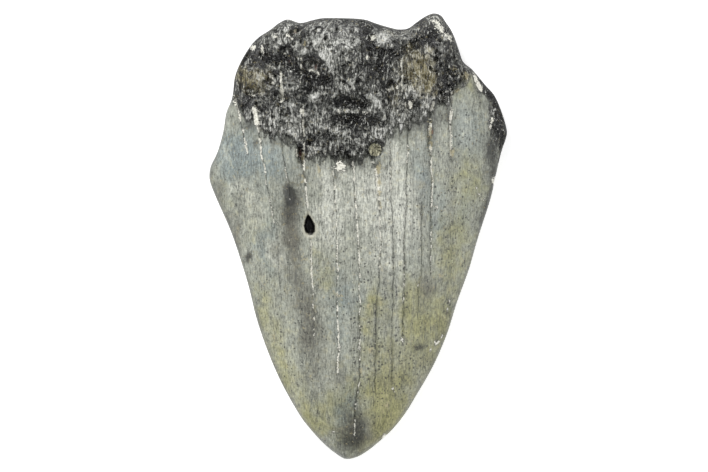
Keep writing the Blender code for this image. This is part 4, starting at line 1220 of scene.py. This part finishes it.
# %% [markdown]
# ## Floor and light
#
# The tooth lies on a plain white table, lit like a catalogue picture: a large soft box high on the upper
# left, a weaker one at the lower right, and light from all round. Soft light from above shows true colours,
# and the small tilt of the main light keeps some shade in the cracks and pits. In such pictures the
# background is overexposed to pure white, so the paper glows a little of its own.

# %% White table and soft boxes
TABLE_HALF = 1500 * MM
PAPER_GLOW = 0.5
MAIN_POWER = 12.0
FILL_POWER = 3.5
SURROUND = 0.42

table_mesh = bpy.data.meshes.new("white_table")
table_corners = [(a * TABLE_HALF, b * TABLE_HALF, 0.0) for a, b in ((-1, -1), (1, -1), (1, 1), (-1, 1))]
table_mesh.from_pydata(table_corners, [], [(0, 1, 2, 3)])
table = bpy.data.objects.new("white_table", table_mesh)
bpy.context.scene.collection.objects.link(table)
paper = bpy.data.materials.new("matt_white_paper")
paper.use_nodes = True
paper_inputs = paper.node_tree.nodes["Principled BSDF"].inputs
paper_inputs["Base Color"].default_value = linear("F6F6F6")
paper_inputs["Roughness"].default_value = 0.95
paper_inputs["Emission Color"].default_value = linear("FFFFFF")
paper_inputs["Emission Strength"].default_value = PAPER_GLOW
table_mesh.materials.append(paper)


def soft_box(name, place, size, power):
    """A square area light that faces the tooth."""
    lamp = bpy.data.lights.new(name, "AREA")
    lamp.shape = "SQUARE"
    lamp.size = size
    lamp.energy = power
    box = bpy.data.objects.new(name, lamp)
    box.location = place
    sideways = math.hypot(place[0], place[1])
    box.rotation_euler = (math.atan2(sideways, place[2]), 0.0, math.atan2(place[1], place[0]) + math.pi / 2)
    bpy.context.scene.collection.objects.link(box)


soft_box("main_soft_box", (-0.6, 0.75, 0.95), 0.5, MAIN_POWER)
soft_box("fill_soft_box", (0.7, -0.3, 0.9), 0.5, FILL_POWER)

world = bpy.data.worlds.new("even_white_surround")
world.use_nodes = True
background = world.node_tree.nodes["Background"].inputs
background["Color"].default_value = linear("FFFFFF")
background["Strength"].default_value = SURROUND
bpy.context.scene.world = world
bpy.context.scene.view_settings.view_transform = "Standard"
print("main light", MAIN_POWER, "W, fill light", FILL_POWER, "W")

# %% [markdown]
# ## Camera
#
# The picture looks straight down on the tooth, root up. A long lens from about a metre away keeps the
# outline free of perspective. Its distance follows from the picture's width in millimetres.

# %% Camera above the tooth
PICTURE_WIDTH = 708 * 0.23 * MM
PICTURE_CENTRE = (-0.92 * MM, 0.12 * MM)
OUTLINE_HEIGHT = 4.0 * MM
camera_data = bpy.data.cameras.new("camera")
camera_data.lens = 200.0
camera_data.sensor_width = 36.0
camera_data.clip_start = 0.01
camera = bpy.data.objects.new("camera", camera_data)
distance = PICTURE_WIDTH * camera_data.lens / camera_data.sensor_width
camera.location = (*PICTURE_CENTRE, OUTLINE_HEIGHT + distance)
bpy.context.scene.collection.objects.link(camera)
bpy.context.scene.camera = camera
print("camera height, mm:", round(camera.location.z / MM))
